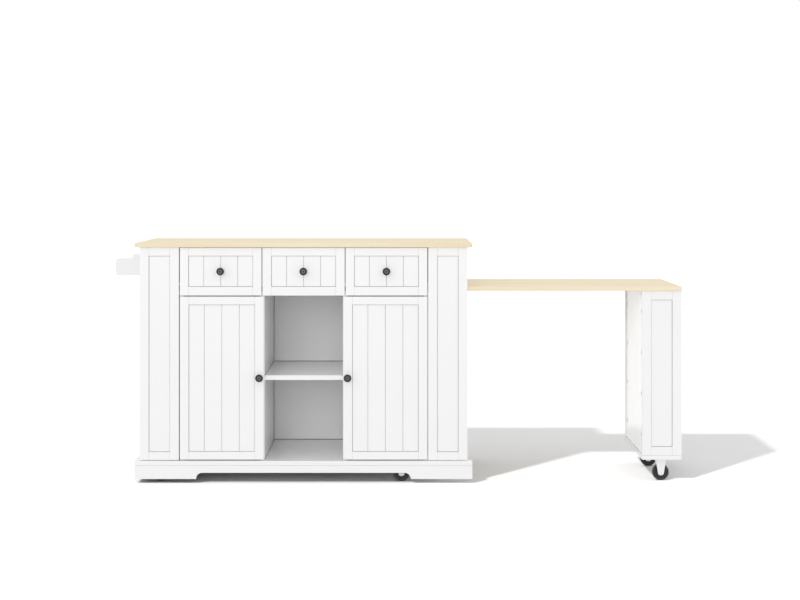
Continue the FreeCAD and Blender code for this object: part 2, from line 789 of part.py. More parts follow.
def make_casters():
    """Four casters under the cabinet and two under the table's leg, all rolling along the island."""
    cabinet = []
    for face, facing in FACES:
        for side in ("left", "right"):
            cabinet.append((f"{side}_{face}", f"cabinet_caster_{side}", f"{facing} cabinet_caster_y"))
    leg = [(f"leg_{face}", "leg_caster_x", f"leg_caster_{face}") for face, facing in FACES]
    groups = (("cabinet", cabinet, "(floor_top - floor_thick)"), ("leg", leg, "leg_bottom"))
    for group, casters, top in groups:
        forks = [make_fork(f"{name}_fork", x, y, top) for name, x, y in casters]
        axles = [make_axle(f"{name}_axle", x, y) for name, x, y in casters]
        make_node(f"{group}_caster_forks", *forks)
        make_node(f"{group}_caster_axles", *axles)
        for name, x, y in casters:
            make_wheel(f"{name}_wheel", x, y)


# ---------------------------------------------------------------- table


def make_table():
    """The pull-out table: its top and the hollow framed leg that carries its free end."""
    body = new_body("table_top")
    half_depth = "table_depth / 2"
    sketch = rectangle(body, "XY_Plane", ("0", f"-{half_depth}"), ("table_length", half_depth))
    slab = pad(body, sketch, "table_thick")
    round_edges(body, slab, "worktop_round", lambda edge: True)
    place(body, "table_end - table_length", "0", "table_bottom")
    make_node("table_top", body)
    panel_bottom = "(leg_bottom + leg_floor_thick)"
    panel_height = f"(table_bottom - {panel_bottom})"
    rails = ("leg_bottom_rail", "leg_top_rail")
    for face, facing in FACES:
        name = f"leg_{face}_panel"
        centre = (LEG_X, f"{facing} (leg_depth - front_thick) / 2")
        boards = frame_boards(name, "leg_width", panel_height, "pilaster_recess", rails, centre, panel_bottom)
        panel = infill(name, panel_height, "pilaster_recess", rails, centre, panel_bottom, facing)
        make_node(name, *boards, panel)
    size = ("panel_thick", "leg_depth - 2 * front_thick", panel_height)
    outer = ("table_end - panel_thick / 2", "0")
    make_node("leg_outer_panel", board("leg_outer_panel", size, outer, panel_bottom))
    inner = ("table_end - leg_width + leg_inner_setback + panel_thick / 2", "0")
    make_node("leg_inner_panel", board("leg_inner_panel", size, inner, panel_bottom))
    floor = ("leg_width", "leg_depth", "leg_floor_thick")
    make_node("leg_bottom_board", board("leg_bottom_board", floor, (LEG_X, "0"), "leg_bottom"))


# ---------------------------------------------------------------- checks and files


def check_features():
    """Stops if any object failed, or if a pocket took nothing away."""
    for item in doc.Objects:
        if "Invalid" in item.State or "Error" in item.State:
            raise RuntimeError(f"{item.Label} failed: {item.State}")
        if item.TypeId == "PartDesign::Pocket" and item.Shape.Volume >= item.BaseFeature.Shape.Volume:
            raise RuntimeError(f"{item.Label} cuts nothing")


def check_nodes():
    """Stops if a sub-part has no valid shape, or if the origin is not under the middle of the object."""
    whole = FreeCAD.BoundBox()
    for node in nodes:
        if node.Shape.isNull() or not node.Shape.isValid():
            raise RuntimeError(f"{node.Label} has no valid shape")
        whole.add(node.Shape.BoundBox)
    print("size", round(whole.XLength, 2), round(whole.YLength, 2), round(whole.ZLength, 2))
    centre_error = max(abs(whole.Center.x), abs(whole.Center.y), abs(whole.ZMin))
    if centre_error > 0.01:
        raise RuntimeError(f"the origin is {centre_error} mm off: {whole}")


def write_nodes():
    """Writes each sub-part to a file of its own name."""
    os.makedirs("parts", exist_ok=True)
    for node in nodes:
        node.Shape.exportStep(f"parts/{node.Label}.step")
    print(len(nodes), "sub-parts written")


fill_sheet()
make_worktop()
make_floor()
make_plinths()
make_pilasters()
make_side_panels()
make_partitions()
make_shelves()
make_decks()
make_back()
make_doors()
make_drawers()
make_towel_rack()
make_casters()
make_table()
doc.recompute()
check_features()
check_nodes()
write_nodes()
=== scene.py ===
"""The finished look of a rolling kitchen island with a pull-out table.

Every painted board is rebuilt with eased edges, the framed fronts with their joints, chamfered infills and
grooves, and the fittings with their screws. All lengths are metres in the part's own frame: X runs along the
island towards the table, Y towards its back and Z up, with the floor at zero.
"""
import json
import math

import bmesh
import bpy
from mathutils import Matrix, Vector


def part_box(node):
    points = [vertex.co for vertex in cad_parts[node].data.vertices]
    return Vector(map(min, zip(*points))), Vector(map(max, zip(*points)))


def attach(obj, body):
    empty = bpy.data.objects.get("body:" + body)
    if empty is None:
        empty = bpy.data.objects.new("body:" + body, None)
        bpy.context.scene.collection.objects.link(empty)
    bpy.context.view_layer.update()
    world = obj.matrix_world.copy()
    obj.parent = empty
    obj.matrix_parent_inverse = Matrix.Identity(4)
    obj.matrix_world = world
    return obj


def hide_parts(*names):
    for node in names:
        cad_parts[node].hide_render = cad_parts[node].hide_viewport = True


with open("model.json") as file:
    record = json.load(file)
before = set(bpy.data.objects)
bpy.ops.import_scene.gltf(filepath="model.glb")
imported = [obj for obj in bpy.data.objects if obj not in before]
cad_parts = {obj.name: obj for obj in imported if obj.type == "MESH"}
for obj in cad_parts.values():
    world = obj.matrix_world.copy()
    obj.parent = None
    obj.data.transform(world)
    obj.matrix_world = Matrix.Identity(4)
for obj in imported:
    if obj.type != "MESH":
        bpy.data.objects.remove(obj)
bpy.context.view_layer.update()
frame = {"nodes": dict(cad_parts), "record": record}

MM = 0.001
SIDES = ("left", "right")
DRAWERS = ("left", "middle", "right")
FACES = (("front", -1), ("rear", 1))

DOWN = Vector((0, 0, -1))
UP = Vector((0, 0, 1))
TO_FRONT = Vector((0, -1, 0))
TO_BACK = Vector((0, 1, 0))
TO_LEFT = Vector((-1, 0, 0))
TO_RIGHT = Vector((1, 0, 0))

# eased edges: their widths, and the angles over which an edge is sharp enough to be eased
BOARD_EASE = 0.5 * MM
TOP_EASE = 1.5 * MM
FLOOR_EASE = 1.2 * MM
GROOVE_EASE = 0.3 * MM
STRIP_EASE = 0.1 * MM
SHARP_ANGLE = math.radians(25)
ROUND_ANGLE = math.radians(60)

# how far the lining on a cut's floor, a strip that carries painted shade, stands out of it, and lies in it
LINING = 0.4 * MM

# how far a cutter runs out of its board, and an infill runs into its backing
OVERLAP = 1 * MM

NODE_BODY = {
    node: body for body, nodes in frame["record"]["behaviour"]["bodies"].items() for node in nodes
}


# ---- mesh helpers


def ease_edges(mesh, edges, width, segments=2):
    """Rounds the given edges."""
    bmesh.ops.bevel(
        mesh, geom=list(edges), offset=width, segments=segments, profile=0.5, affect="EDGES",
        clamp_overlap=True,
    )


def add_board(mesh, low, high, ease=BOARD_EASE, segments=2):
    """A closed board with eased edges between two corners."""
    low, high = Vector(low), Vector(high)
    place = Matrix.Translation((low + high) / 2) @ Matrix.Diagonal((*(high - low), 1))
    corners = bmesh.ops.create_cube(mesh, size=1, matrix=place)["verts"]
    ease_edges(mesh, {edge for corner in corners for edge in corner.link_edges}, ease, segments)


def add_strip(mesh, low, high, ease=STRIP_EASE):
    """A thin closed board with one narrow chamfer along each edge."""
    add_board(mesh, low, high, ease, segments=1)


def add_prism(mesh, outline, run, ease=BOARD_EASE, sharp=SHARP_ANGLE):
    """A closed solid from a flat outline and the vector that it is drawn out along, with eased edges."""
    first = [mesh.verts.new(point) for point in outline]
    second = [mesh.verts.new(Vector(point) + run) for point in outline]
    faces = [mesh.faces.new(first), mesh.faces.new(list(reversed(second)))]
    for index in range(len(outline)):
        after = (index + 1) % len(outline)
        faces.append(mesh.faces.new((first[after], first[index], second[index], second[after])))
    bmesh.ops.recalc_face_normals(mesh, faces=faces)
    edges = {edge for face in faces for edge in face.edges}
    ease_edges(mesh, [edge for edge in edges if edge.calc_face_angle(0) > sharp], ease)


def add_upright(mesh, plan, bottom, top, ease=BOARD_EASE):
    """A solid with the same outline all the way up, given as seen from above in pairs of X and Y."""
    add_prism(mesh, [(x, y, bottom) for x, y in plan], UP * (top - bottom), ease)


def add_level(mesh, front_view, near, far, ease=BOARD_EASE, sharp=SHARP_ANGLE):
    """A solid with the same outline from near to far, given as seen from the front in pairs of X and Z."""
    add_prism(mesh, [(x, near, z) for x, z in front_view], TO_BACK * (far - near), ease, sharp)


def add_turned(mesh, profile, start, direction, steps=40, closed=False):
    """A turned solid. The profile is (radius, distance along the axis), from start towards direction."""
    turn = Vector(direction).to_track_quat("Z", "Y").to_matrix().to_4x4()
    place = Matrix.Translation(Vector(start)) @ turn
    rings = []
    for radius, distance in profile:
        count = steps if radius > 0 else 1
        ring = []
        for step in range(count):
            angle = 2 * math.pi * step / count
            point = Vector((radius * math.cos(angle), radius * math.sin(angle), distance))
            ring.append(mesh.verts.new(place @ point))
        rings.append(ring)
    following_rings = rings[1:] + rings[:1] if closed else rings[1:]
    faces = []
    for ring, following in zip(rings, following_rings):
        for step in range(steps):
            after = (step + 1) % steps
            corners = [ring[step % len(ring)], ring[after % len(ring)]]
            corners += [following[after % len(following)], following[step % len(following)]]
            faces.append(mesh.faces.new(list(dict.fromkeys(corners))))
    bmesh.ops.recalc_face_normals(mesh, faces=faces)


def add_cylinder(mesh, radius, length, start, direction, steps=40):
    """A plain round pin or cutter."""
    add_turned(mesh, [(0, 0), (radius, 0), (radius, length), (0, length)], start, direction, steps)


def from_mm(profile):
    """A profile given in millimetres, in metres."""
    return [(radius * MM, distance * MM) for radius, distance in profile]


def mirrored(half, reach=0):
    """A whole profile from one half, which runs inwards from its end to a distance from the middle."""
    first = [(radius, -reach - distance) for radius, distance in half]
    return first + [(radius, reach + distance) for radius, distance in reversed(half)]


def middle_at(low, high, y):
    """The middle of a box seen from the front, at a depth."""
    return Vector(((low.x + high.x) / 2, y, (low.z + high.z) / 2))


def arc(centre, radius, first, last, steps):
    """Points along an arc in a plane, as pairs. The angles are in degrees."""
    points = []
    for step in range(steps + 1):
        angle = math.radians(first + (last - first) * step / steps)
        points.append((centre[0] + radius * math.cos(angle), centre[1] + radius * math.sin(angle)))
    return points


def rounded(low, high, radius, steps=6):
    """The outline of a rectangle with rounded corners, as pairs."""
    points = []
    corners = ((high[0], high[1], 0), (low[0], high[1], 90), (low[0], low[1], 180), (high[0], low[1], 270))
    for x, y, start in corners:
        centre_x = x - radius if x == high[0] else x + radius
        centre_y = y - radius if y == high[1] else y + radius
        points += arc((centre_x, centre_y), radius, start, start + 90, steps)
    return points


# screw heads: radius and rise
CUP_SCREW = (3 * MM, 0.3 * MM)
SMALL_SCREW = (3.4 * MM, 0.9 * MM)
WING_SCREW = (3.4 * MM, 1.2 * MM)
CASTER_SCREW = (3.6 * MM, 1.6 * MM)
DOOR_KNOB_SCREW = (2.3 * MM, 1 * MM)
DRAWER_KNOB_SCREW = (4 * MM, 2 * MM)

# a screw head's section, as shares of its radius and of its rise
SCREW_PROFILE = ((0, -1), (1, -1), (1, 0), (0.86, 0.5), (0.55, 0.9), (0.4, 1), (0.3, 0.3), (0, 0.1))


def add_screw(mesh, place, direction, radius, rise):
    """A domed screw head with a recess for the driver, standing on its place."""
    profile = [(radius * across, rise * along) for across, along in SCREW_PROFILE]
    add_turned(mesh, profile, place, direction, steps=20)


def make_piece(name, mesh, node, finish=None, stands_for=(), smooth_below=None, look=None):
    """Turns a mesh into a shown piece on the node's body, with the node's finish."""
    data = bpy.data.meshes.new(name)
    mesh.to_mesh(data)
    mesh.free()
    if smooth_below:
        data.shade_smooth()
        data.set_sharp_from_angle(angle=math.radians(smooth_below))
    piece = add_object(name, data)
    finish = finish or frame["nodes"][node].data.materials[0].name
    data.materials.append(MATERIALS[look or finish])
    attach(piece, NODE_BODY[node])
    if stands_for:
        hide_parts(*stands_for)


def make_finished(node, mesh, smooth_below=None, look=None):
    """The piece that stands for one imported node."""
    make_piece(f"finished_{node}", mesh, node, stands_for=(node,), smooth_below=smooth_below, look=look)


def add_object(name, data):
    """A new thing in the scene."""
    item = bpy.data.objects.new(name, data)
    bpy.context.scene.collection.objects.link(item)
    return item


def add_data(mesh, data):
    """Moves mesh data into a mesh."""
    mesh.from_mesh(data)
    bpy.data.meshes.remove(data)


def subtract(base, tools):
    """The base mesh with the closed tools taken away, as new mesh data."""
    items = []
    for mesh in (base, tools):
        data = bpy.data.meshes.new("working")
        mesh.to_mesh(data)
        mesh.free()
        items.append(add_object("working", data))
    whole, cutter = items
    change = whole.modifiers.new("cut", "BOOLEAN")
    change.operation = "DIFFERENCE"
    change.use_self = True
    change.object = cutter
    result = bpy.data.meshes.new_from_object(whole.evaluated_get(bpy.context.evaluated_depsgraph_get()))
    for item in items:
        bpy.data.objects.remove(item)
    return result


# vertices this close are one
SAME_PLACE = 1e-6


def span(points):
    """The lowest and the highest corner of some points."""
    low = Vector(min(point[axis] for point in points) for axis in range(3))
    high = Vector(max(point[axis] for point in points) for axis in range(3))
    return low, high


def joined_to(start, waiting):
    """The vertices that hang together with one. They are taken out of those that wait."""
    found = {start}
    to_search = [start]
    while to_search:
        vertex = to_search.pop()
        for edge in vertex.link_edges:
            other = edge.other_vert(vertex)
            if other in waiting:
                waiting.discard(other)
                found.add(other)
                to_search.append(other)
    return found


def solids_of(node):
    """The boxes of a node's separate solids, from left to right, front to back and low to high."""
    mesh = bmesh.new()
    mesh.from_mesh(frame["nodes"][node].data)
    bmesh.ops.remove_doubles(mesh, verts=mesh.verts, dist=SAME_PLACE)
    waiting = set(mesh.verts)
    boxes = []
    while waiting:
        found = joined_to(waiting.pop(), waiting)
        boxes.append(span([vertex.co for vertex in found]))
    mesh.free()
    return sorted(boxes, key=lambda pair: [round(number, 4) for number in pair[0]])


# ---- materials


# how fine each noise is, per metre
CLOUD_SCALE = 5
PAINT_SHEEN_SCALE = 12
PEEL_SCALE = 300
WEAR_SCALE = 55
DUST_SCALE = 70
MOULDED_SCALE = 900
METAL_TOOTH = (300, 300, 300)
BRUSHED_TOOTH = (60, 900, 900)

# the stretch of each noise over which one colour or roughness turns into another
CLOUD_BAND = (0.35, 0.65)
SHEEN_BAND = (0.3, 0.7)
WEAR_BAND = (0.4, 0.7)
DUST_BAND = (0.45, 0.75)
RING_BAND = (0.38, 0.68)
FIBRE_BAND = (0.5, 0.8)

# roughness: how far it varies about the middle, or its two ends
PAINT_SHEEN = 0.01
METAL_SHEEN = 0.06
WOOD_SHEEN = (0.5, 0.6)
RUBBER_SHEEN = (0.42, 0.58)

# bumps: depth and strength
PEEL_BUMP = (0.006 * MM, 0.4)
WOOD_BUMP = (0.03 * MM, 0.4)
METAL_BUMP = (0.01 * MM, 0.5)
RUBBER_BUMP = (0.05 * MM, 0.6)

# the wooden tops: colours, a stave's width, the most that its grain is shifted along, how growth rings and
# fibres are scaled and stretched, and the most that each pattern adds of the deeper colour
WOOD_PALE = (246, 233, 204)
WOOD_DEEP = (234, 213, 173)
STAVE_WIDTH = 75 * MM
STAVE_SHIFT = 9
RING_SCALE = 1.6
RING_STRETCH = (1.3, 34, 34)
FIBRE_STRETCH = (9, 420, 420)
RING_SHARE = 0.55
FIBRE_SHARE = 0.28
STAVE_SHARE = 0.14

# the numbers of a Mix node's colour sockets
MIX_SHARE, MIX_FIRST, MIX_SECOND = 0, 6, 7
MIX_RESULT = 2


def linear(colour):
    """A colour given in the usual 0 to 255 steps, as Blender's linear values."""
    channels = []
    for step in colour:
        share = step / 255
        channels.append(share / 12.92 if share <= 0.04045 else ((share + 0.055) / 1.055) ** 2.4)
    return (*channels, 1)


class Shader:
    """A material with a Principled surface and the object's own coordinates in metres."""

    def __init__(self, name):
        self.material = bpy.data.materials.new(name)
        self.material.use_nodes = True
        self.tree = self.material.node_tree
        self.surface = self.tree.nodes["Principled BSDF"]
        self.place = self.add("ShaderNodeTexCoord").outputs["Object"]

    def add(self, kind, **settings):
        """A node with its settings."""
        node = self.tree.nodes.new(kind)
        for key, value in settings.items():
            setattr(node, key, value)
        return node

    def join(self, source, target):
        """A link between two sockets."""
        self.tree.links.new(source, target)

    def sum(self, operation, source, number=0):
        """A sum on a value, with a second number where the sum needs one."""
        node = self.add("ShaderNodeMath", operation=operation)
        self.join(source, node.inputs[0])
        node.inputs[1].default_value = number
        return node.outputs[0]

    def scaled(self, scale, place=None):
        """The coordinates, stretched."""
        node = self.add("ShaderNodeMapping")
        node.inputs["Scale"].default_value = scale
        self.join(place or self.place, node.inputs["Vector"])
        return node.outputs["Vector"]

    def noise(self, scale, detail, place=None, distortion=0):
        """Even noise from 0 to 1."""
        node = self.add("ShaderNodeTexNoise")
        node.inputs["Scale"].default_value = scale
        node.inputs["Detail"].default_value = detail
        node.inputs["Distortion"].default_value = distortion
        self.join(place or self.place, node.inputs["Vector"])
        return node.outputs["Fac"]

    def ranged(self, source, band, low=0, high=1):
        """A value's band, moved to run from low to high and held at its ends."""
        node = self.add("ShaderNodeMapRange")
        for socket, number in zip(("From Min", "From Max", "To Min", "To Max"), (*band, low, high)):
            node.inputs[socket].default_value = number
        self.join(source, node.inputs["Value"])
        return node.outputs["Result"]

    def blend(self, share, first, second):
        """A mix of two colours, of which the first may be a socket."""
        node = self.add("ShaderNodeMix", data_type="RGBA")
        self.join(share, node.inputs[MIX_SHARE])
        if isinstance(first, bpy.types.NodeSocket):
            self.join(first, node.inputs[MIX_FIRST])
        else:
            node.inputs[MIX_FIRST].default_value = linear(first)
        node.inputs[MIX_SECOND].default_value = linear(second)
        return node.outputs[MIX_RESULT]

    def bump(self, height, depth, strength):
        """A bump of the given depth."""
        node = self.add("ShaderNodeBump")
        node.inputs["Strength"].default_value = strength
        node.inputs["Distance"].default_value = depth
        self.join(height, node.inputs["Height"])
        return node.outputs["Normal"]

    def use(self, colour, roughness, normal, **fixed):
        """Links the surface's colour, roughness and bump, and sets its other sockets."""
        self.join(colour, self.surface.inputs["Base Color"])
        self.join(roughness, self.surface.inputs["Roughness"])
        self.join(normal, self.surface.inputs["Normal"])
        for socket, value in fixed.items():
            self.surface.inputs[socket.replace("_", " ")].default_value = value
        return self.material


def make_paint(name, tone, warm, roughness):
    """Sprayed paint on board: faint clouds of tone, a slight sheen change and a fine orange peel."""
    shader = Shader(name)
    clouds = shader.noise(CLOUD_SCALE, detail=3)
    speckle = shader.noise(PEEL_SCALE, detail=2)
    colour = shader.blend(shader.ranged(clouds, CLOUD_BAND), tone, warm)
    sheen = shader.noise(PAINT_SHEEN_SCALE, detail=3)
    sheen = shader.ranged(sheen, SHEEN_BAND, roughness - PAINT_SHEEN, roughness + PAINT_SHEEN)
    return shader.use(colour, sheen, shader.bump(speckle, *PEEL_BUMP))


def stave_places(shader):
    """A random number for each stave of a top, and the coordinates moved along the grain by it."""
    split = shader.add("ShaderNodeSeparateXYZ")
    shader.join(shader.place, split.inputs["Vector"])
    stave = shader.sum("FLOOR", shader.sum("DIVIDE", split.outputs["Y"], STAVE_WIDTH))
    chance = shader.add("ShaderNodeTexWhiteNoise", noise_dimensions="1D")
    shader.join(stave, chance.inputs["W"])
    shift = shader.add("ShaderNodeCombineXYZ")
    shader.join(shader.sum("MULTIPLY", chance.outputs["Value"], STAVE_SHIFT), shift.inputs["X"])
    moved = shader.add("ShaderNodeVectorMath", operation="ADD")
    shader.join(shader.place, moved.inputs[0])
    shader.join(shift.outputs["Vector"], moved.inputs[1])
    return chance.outputs["Value"], moved.outputs["Vector"]


def make_wood(name):
    """Pale straight-grained wood glued up from staves that run along the island, under matt lacquer."""
    shader = Shader(name)
    stave_tone, place = stave_places(shader)
    rings = shader.noise(RING_SCALE, detail=4, place=shader.scaled(RING_STRETCH, place), distortion=0.6)
    fibres = shader.noise(1, detail=3, place=shader.scaled(FIBRE_STRETCH, place))
    grain = shader.blend(shader.ranged(rings, RING_BAND, 0, RING_SHARE), WOOD_PALE, WOOD_DEEP)
    grain = shader.blend(shader.ranged(fibres, FIBRE_BAND, 0, FIBRE_SHARE), grain, WOOD_DEEP)
    grain = shader.blend(shader.ranged(stave_tone, (0, 1), 0, STAVE_SHARE), grain, WOOD_DEEP)
    sheen = shader.ranged(fibres, SHEEN_BAND, *WOOD_SHEEN)
    return shader.use(grain, sheen, shader.bump(fibres, *WOOD_BUMP), Specular_IOR_Level=0.25)


def make_metal(name, tone, worn, roughness, metallic, tooth_scale):
    """Metal or lacquered metal with faint wear and a fine tooth."""
    shader = Shader(name)
    wear = shader.noise(WEAR_SCALE, detail=4)
    tooth = shader.noise(1, detail=3, place=shader.scaled(tooth_scale))
    colour = shader.blend(shader.ranged(wear, WEAR_BAND), tone, worn)
    sheen = shader.ranged(tooth, SHEEN_BAND, roughness - METAL_SHEEN, roughness + METAL_SHEEN)
    return shader.use(colour, sheen, shader.bump(tooth, *METAL_BUMP), Metallic=metallic)


def make_rubber(name, tone, dusty):
    """Moulded rubber or nylon, slightly dusty."""
    shader = Shader(name)
    dust = shader.noise(DUST_SCALE, detail=4)
    tooth = shader.noise(MOULDED_SCALE, detail=2)
    colour = shader.blend(shader.ranged(dust, DUST_BAND), tone, dusty)
    sheen = shader.ranged(dust, SHEEN_BAND, *RUBBER_SHEEN)
    return shader.use(colour, sheen, shader.bump(tooth, *RUBBER_BUMP))


# two tones and the roughness
PAINTS = {
    "white_paint": ((246, 246, 247), (245, 245, 245), 0.2),
    # grey strips on groove floors and the cam covers: painted shade, darker than the white paint where the
    # grooves lie in shade
    "groove_paint": ((205, 205, 205), (196, 196, 195), 0.6),
    # bare board at the bottom of gaps and slots, made much darker than bare board as painted shade inside
    # them
    "gap_board": ((96, 95, 93), (84, 82, 80), 0.8),
    "drawer_board": ((240, 240, 238), (238, 237, 233), 0.42),
    "rack_white": ((239, 239, 239), (238, 238, 238), 0.2),
    "caster_white": ((248, 248, 248), (247, 247, 246), 0.2),
}

# two tones, the roughness, how metallic it is, and the tooth
METALS = {
    "knob_metal": ((50, 50, 50), (62, 62, 61), 0.38, 0.6, METAL_TOOTH),
    # the knob's raised ring: lighter as wear and as a painted highlight on its face
    "worn_metal": ((104, 104, 103), (92, 92, 91), 0.34, 0.6, METAL_TOOTH),
    "steel": ((190, 191, 193), (170, 171, 174), 0.4, 1, BRUSHED_TOOTH),
}

# two tones
RUBBERS = {
    "wheel_black": ((27, 27, 28), (44, 44, 44)),
    # the core is a little darker than the tyre: a black core, and painted shade inside the wheel by the fork
    "wheel_core": ((22, 22, 23), (36, 36, 36)),
}

MATERIALS = {"wood_top": make_wood("wood_top_look")}
for make, looks in ((make_paint, PAINTS), (make_metal, METALS), (make_rubber, RUBBERS)):
    MATERIALS.update({name: make(f"{name}_look", *look) for name, look in looks.items()})


# ---- plain boards


PLAIN_BOARDS = (
    "left_outer_partition", "right_outer_partition", "left_centre_partition", "right_centre_partition",
    "left_shelf", "right_shelf", "lower_deck", "upper_deck", "left_plinth", "left_side_panel",
    "right_side_panel", "drawer_dividers", "leg_inner_panel", "leg_outer_panel", "leg_bottom_board",
)
DIVIDER_SETBACK = 8 * MM
PLINTH_GAP = 0.35 * MM
LEG_SIDE_GAP = 1.3 * MM

# drawer boxes
BOX_WALL = 12 * MM
BOX_FLOOR = 5 * MM
BOX_FLOOR_RAISE = 8 * MM

# floor notch for the table leg
NOTCH_START = 117.5 * MM
NOTCH_DEPTH = 532 * MM

# plinth arch
FOOT_LENGTH = 238.5 * MM
ARCH_RISE = 24 * MM
ARCH_STEPS = 10

# back panel
BACK_GROOVES = 11
BACK_GROOVE_PITCH = 80 * MM
FOOT_GAP = 1.6 * MM

# grooves
GROOVE_WIDTH = 2 * MM
GROOVE_DEPTH = 3 * MM
GROOVE_TAPER = 0.2 * MM


def make_boards():
    """Every part that is one plain board, or a group of them, with eased edges."""
    for node in PLAIN_BOARDS:
        mesh = bmesh.new()
        for low, high in solids_of(node):
            if node == "drawer_dividers":
                low.y += DIVIDER_SETBACK
            if node == "left_plinth":
                high.z -= PLINTH_GAP
            if node == "leg_inner_panel":
                low.z += LEG_SIDE_GAP
            add_board(mesh, low, high)
        make_finished(node, mesh)


def make_drawer_boxes():
    """Each drawer's box: two long sides, a front and a back between them, and a thin floor let in."""
    for side in DRAWERS:
        node = f"{side}_drawer_box"
        low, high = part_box(node)
        floor_low = Vector((low.x + BOX_WALL, low.y + BOX_WALL, low.z + BOX_FLOOR_RAISE))
        floor_high = Vector((high.x - BOX_WALL, high.y - BOX_WALL, floor_low.z + BOX_FLOOR))
        mesh = bmesh.new()
        add_board(mesh, low, (floor_low.x, high.y, high.z))
        add_board(mesh, (floor_high.x, low.y, low.z), high)
        add_board(mesh, (floor_low.x, low.y, low.z), (floor_high.x, floor_low.y, high.z))
        add_board(mesh, (floor_low.x, floor_high.y, low.z), (floor_high.x, high.y, high.z))
        add_board(mesh, floor_low, floor_high)
        make_finished(node, mesh)


def make_tops():
    """The worktop and the table top, with softly rounded edges."""
    for node in ("worktop", "table_top"):
        mesh = bmesh.new()
        add_board(mesh, *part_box(node), ease=TOP_EASE, segments=4)
        make_finished(node, mesh)


def make_floor_board():
    """The cabinet's floor, notched at its right end for the table leg."""
    low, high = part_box("base_board")
    middle = (low.y + high.y) / 2
    near, far = middle - NOTCH_DEPTH / 2, middle + NOTCH_DEPTH / 2
    plan = [
        (low.x, low.y), (high.x, low.y), (high.x, near), (NOTCH_START, near),
        (NOTCH_START, far), (high.x, far), (high.x, high.y), (low.x, high.y),
    ]
    whole = bmesh.new()
    add_upright(whole, plan, low.z, high.z, FLOOR_EASE)
    make_gapped("base_board", whole, UP)


def make_plinths():
    """The front and rear plinth boards, each with its low arch."""
    for face, _ in FACES:
        node = f"{face}_plinth"
        low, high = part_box(node)
        high.z -= PLINTH_GAP
        left, right = low.x + FOOT_LENGTH, high.x - FOOT_LENGTH
        arch = arc((left + ARCH_RISE, low.z), ARCH_RISE, 180, 90, ARCH_STEPS)
        arch += arc((right - ARCH_RISE, low.z), ARCH_RISE, 90, 0, ARCH_STEPS)
        front_view = [(low.x, high.z), (low.x, low.z), *arch, (high.x, low.z), (high.x, high.z)]
        mesh = bmesh.new()
        add_level(mesh, front_view, low.y, high.y)
        make_finished(node, mesh)


def grooved_plan(low_x, high_x, face_y, back_y, middles):
    """A panel whose show face has upright grooves, seen from above."""
    inward = 1 if back_y > face_y else -1
    floor_y = face_y + inward * GROOVE_DEPTH
    half = GROOVE_WIDTH / 2
    points = [(low_x, back_y), (low_x, face_y)]
    for middle in middles:
        points += [(middle - half, face_y), (middle - half + GROOVE_TAPER, floor_y)]
        points += [(middle + half - GROOVE_TAPER, floor_y), (middle + half, face_y)]
    return [*points, (high_x, face_y), (high_x, back_y)]


def make_groove_linings(node, middles, face_y, inward, bottom, top):
    """The grey strip on the floor of each of a node's grooves, painted shade that darkens the groove."""
    floor_y = face_y + inward * GROOVE_DEPTH
    near, far = floor_y - LINING, floor_y + LINING
    half = GROOVE_WIDTH / 2 - GROOVE_TAPER
    mesh = bmesh.new()
    for middle in middles:
        add_strip(mesh, (middle - half, near, bottom), (middle + half, far, top))
    make_piece(f"{node}_grooves", mesh, node, look="groove_paint")


def make_back():
    """The grooved back panel between the rear pilasters."""
    low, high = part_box("back_panel")
    low.z += FOOT_GAP
    middle = (low.x + high.x) / 2
    middles = [middle + BACK_GROOVE_PITCH * (step - BACK_GROOVES // 2) for step in range(BACK_GROOVES)]
    whole = bmesh.new()
    plan = grooved_plan(low.x, high.x, high.y, low.y, middles)
    add_upright(whole, plan, low.z, high.z, GROOVE_EASE)
    make_gapped("back_panel", whole, TO_FRONT)
    make_groove_linings("back_panel", middles, high.y, -1, low.z + LINING, high.z - LINING)


# ---- gaps in the open bay


# in the back's upright corners, along its lower edges, and along the sides of the floor and the shelf
CORNER_GAP = 1.5 * MM
LEVEL_GAP = 2.1 * MM
EDGE_GAP = 1.8 * MM
GAP_DEPTH = 3 * MM
CUTTER_EASE = 0.01 * MM


def bay_gaps():
    """The thin gaps where the open bay's boards meet, as pairs of corners for each cut node."""
    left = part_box("left_centre_partition")[1].x
    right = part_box("right_centre_partition")[0].x
    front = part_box("left_centre_partition")[0].y
    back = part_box("back_panel")[0].y
    shelf_low, shelf_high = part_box("centre_shelf")
    floor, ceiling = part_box("base_board")[1].z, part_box("lower_deck")[0].z
    deep = back + GAP_DEPTH
    gaps = {"back_panel": [], "base_board": [], "centre_shelf": []}
    for node, bottom, top in (("base_board", floor, shelf_low.z), ("centre_shelf", shelf_high.z, ceiling)):
        step = bottom + LEVEL_GAP
        gaps["back_panel"].append((Vector((left, back, bottom)), Vector((right, deep, step))))
        for near, far in ((left, left + CORNER_GAP), (right - CORNER_GAP, right)):
            gaps["back_panel"].append((Vector((near, back, step)), Vector((far, deep, top))))
        for near, far in ((left, left + EDGE_GAP), (right - EDGE_GAP, right)):
            gaps[node].append((Vector((near, front, bottom - GAP_DEPTH)), Vector((far, back, bottom))))
    return gaps


def gap_lining(low, high, opening):
    """The corners of the dark strip at the bottom of a gap: bare board, painted darker to stand for the shade
    there.
    """
    low, high = low.copy(), high.copy()
    if opening == UP:
        low.z, high.z = low.z - LINING, low.z + LINING
    else:
        low.y, high.y = high.y - LINING, high.y + LINING
    return low, high


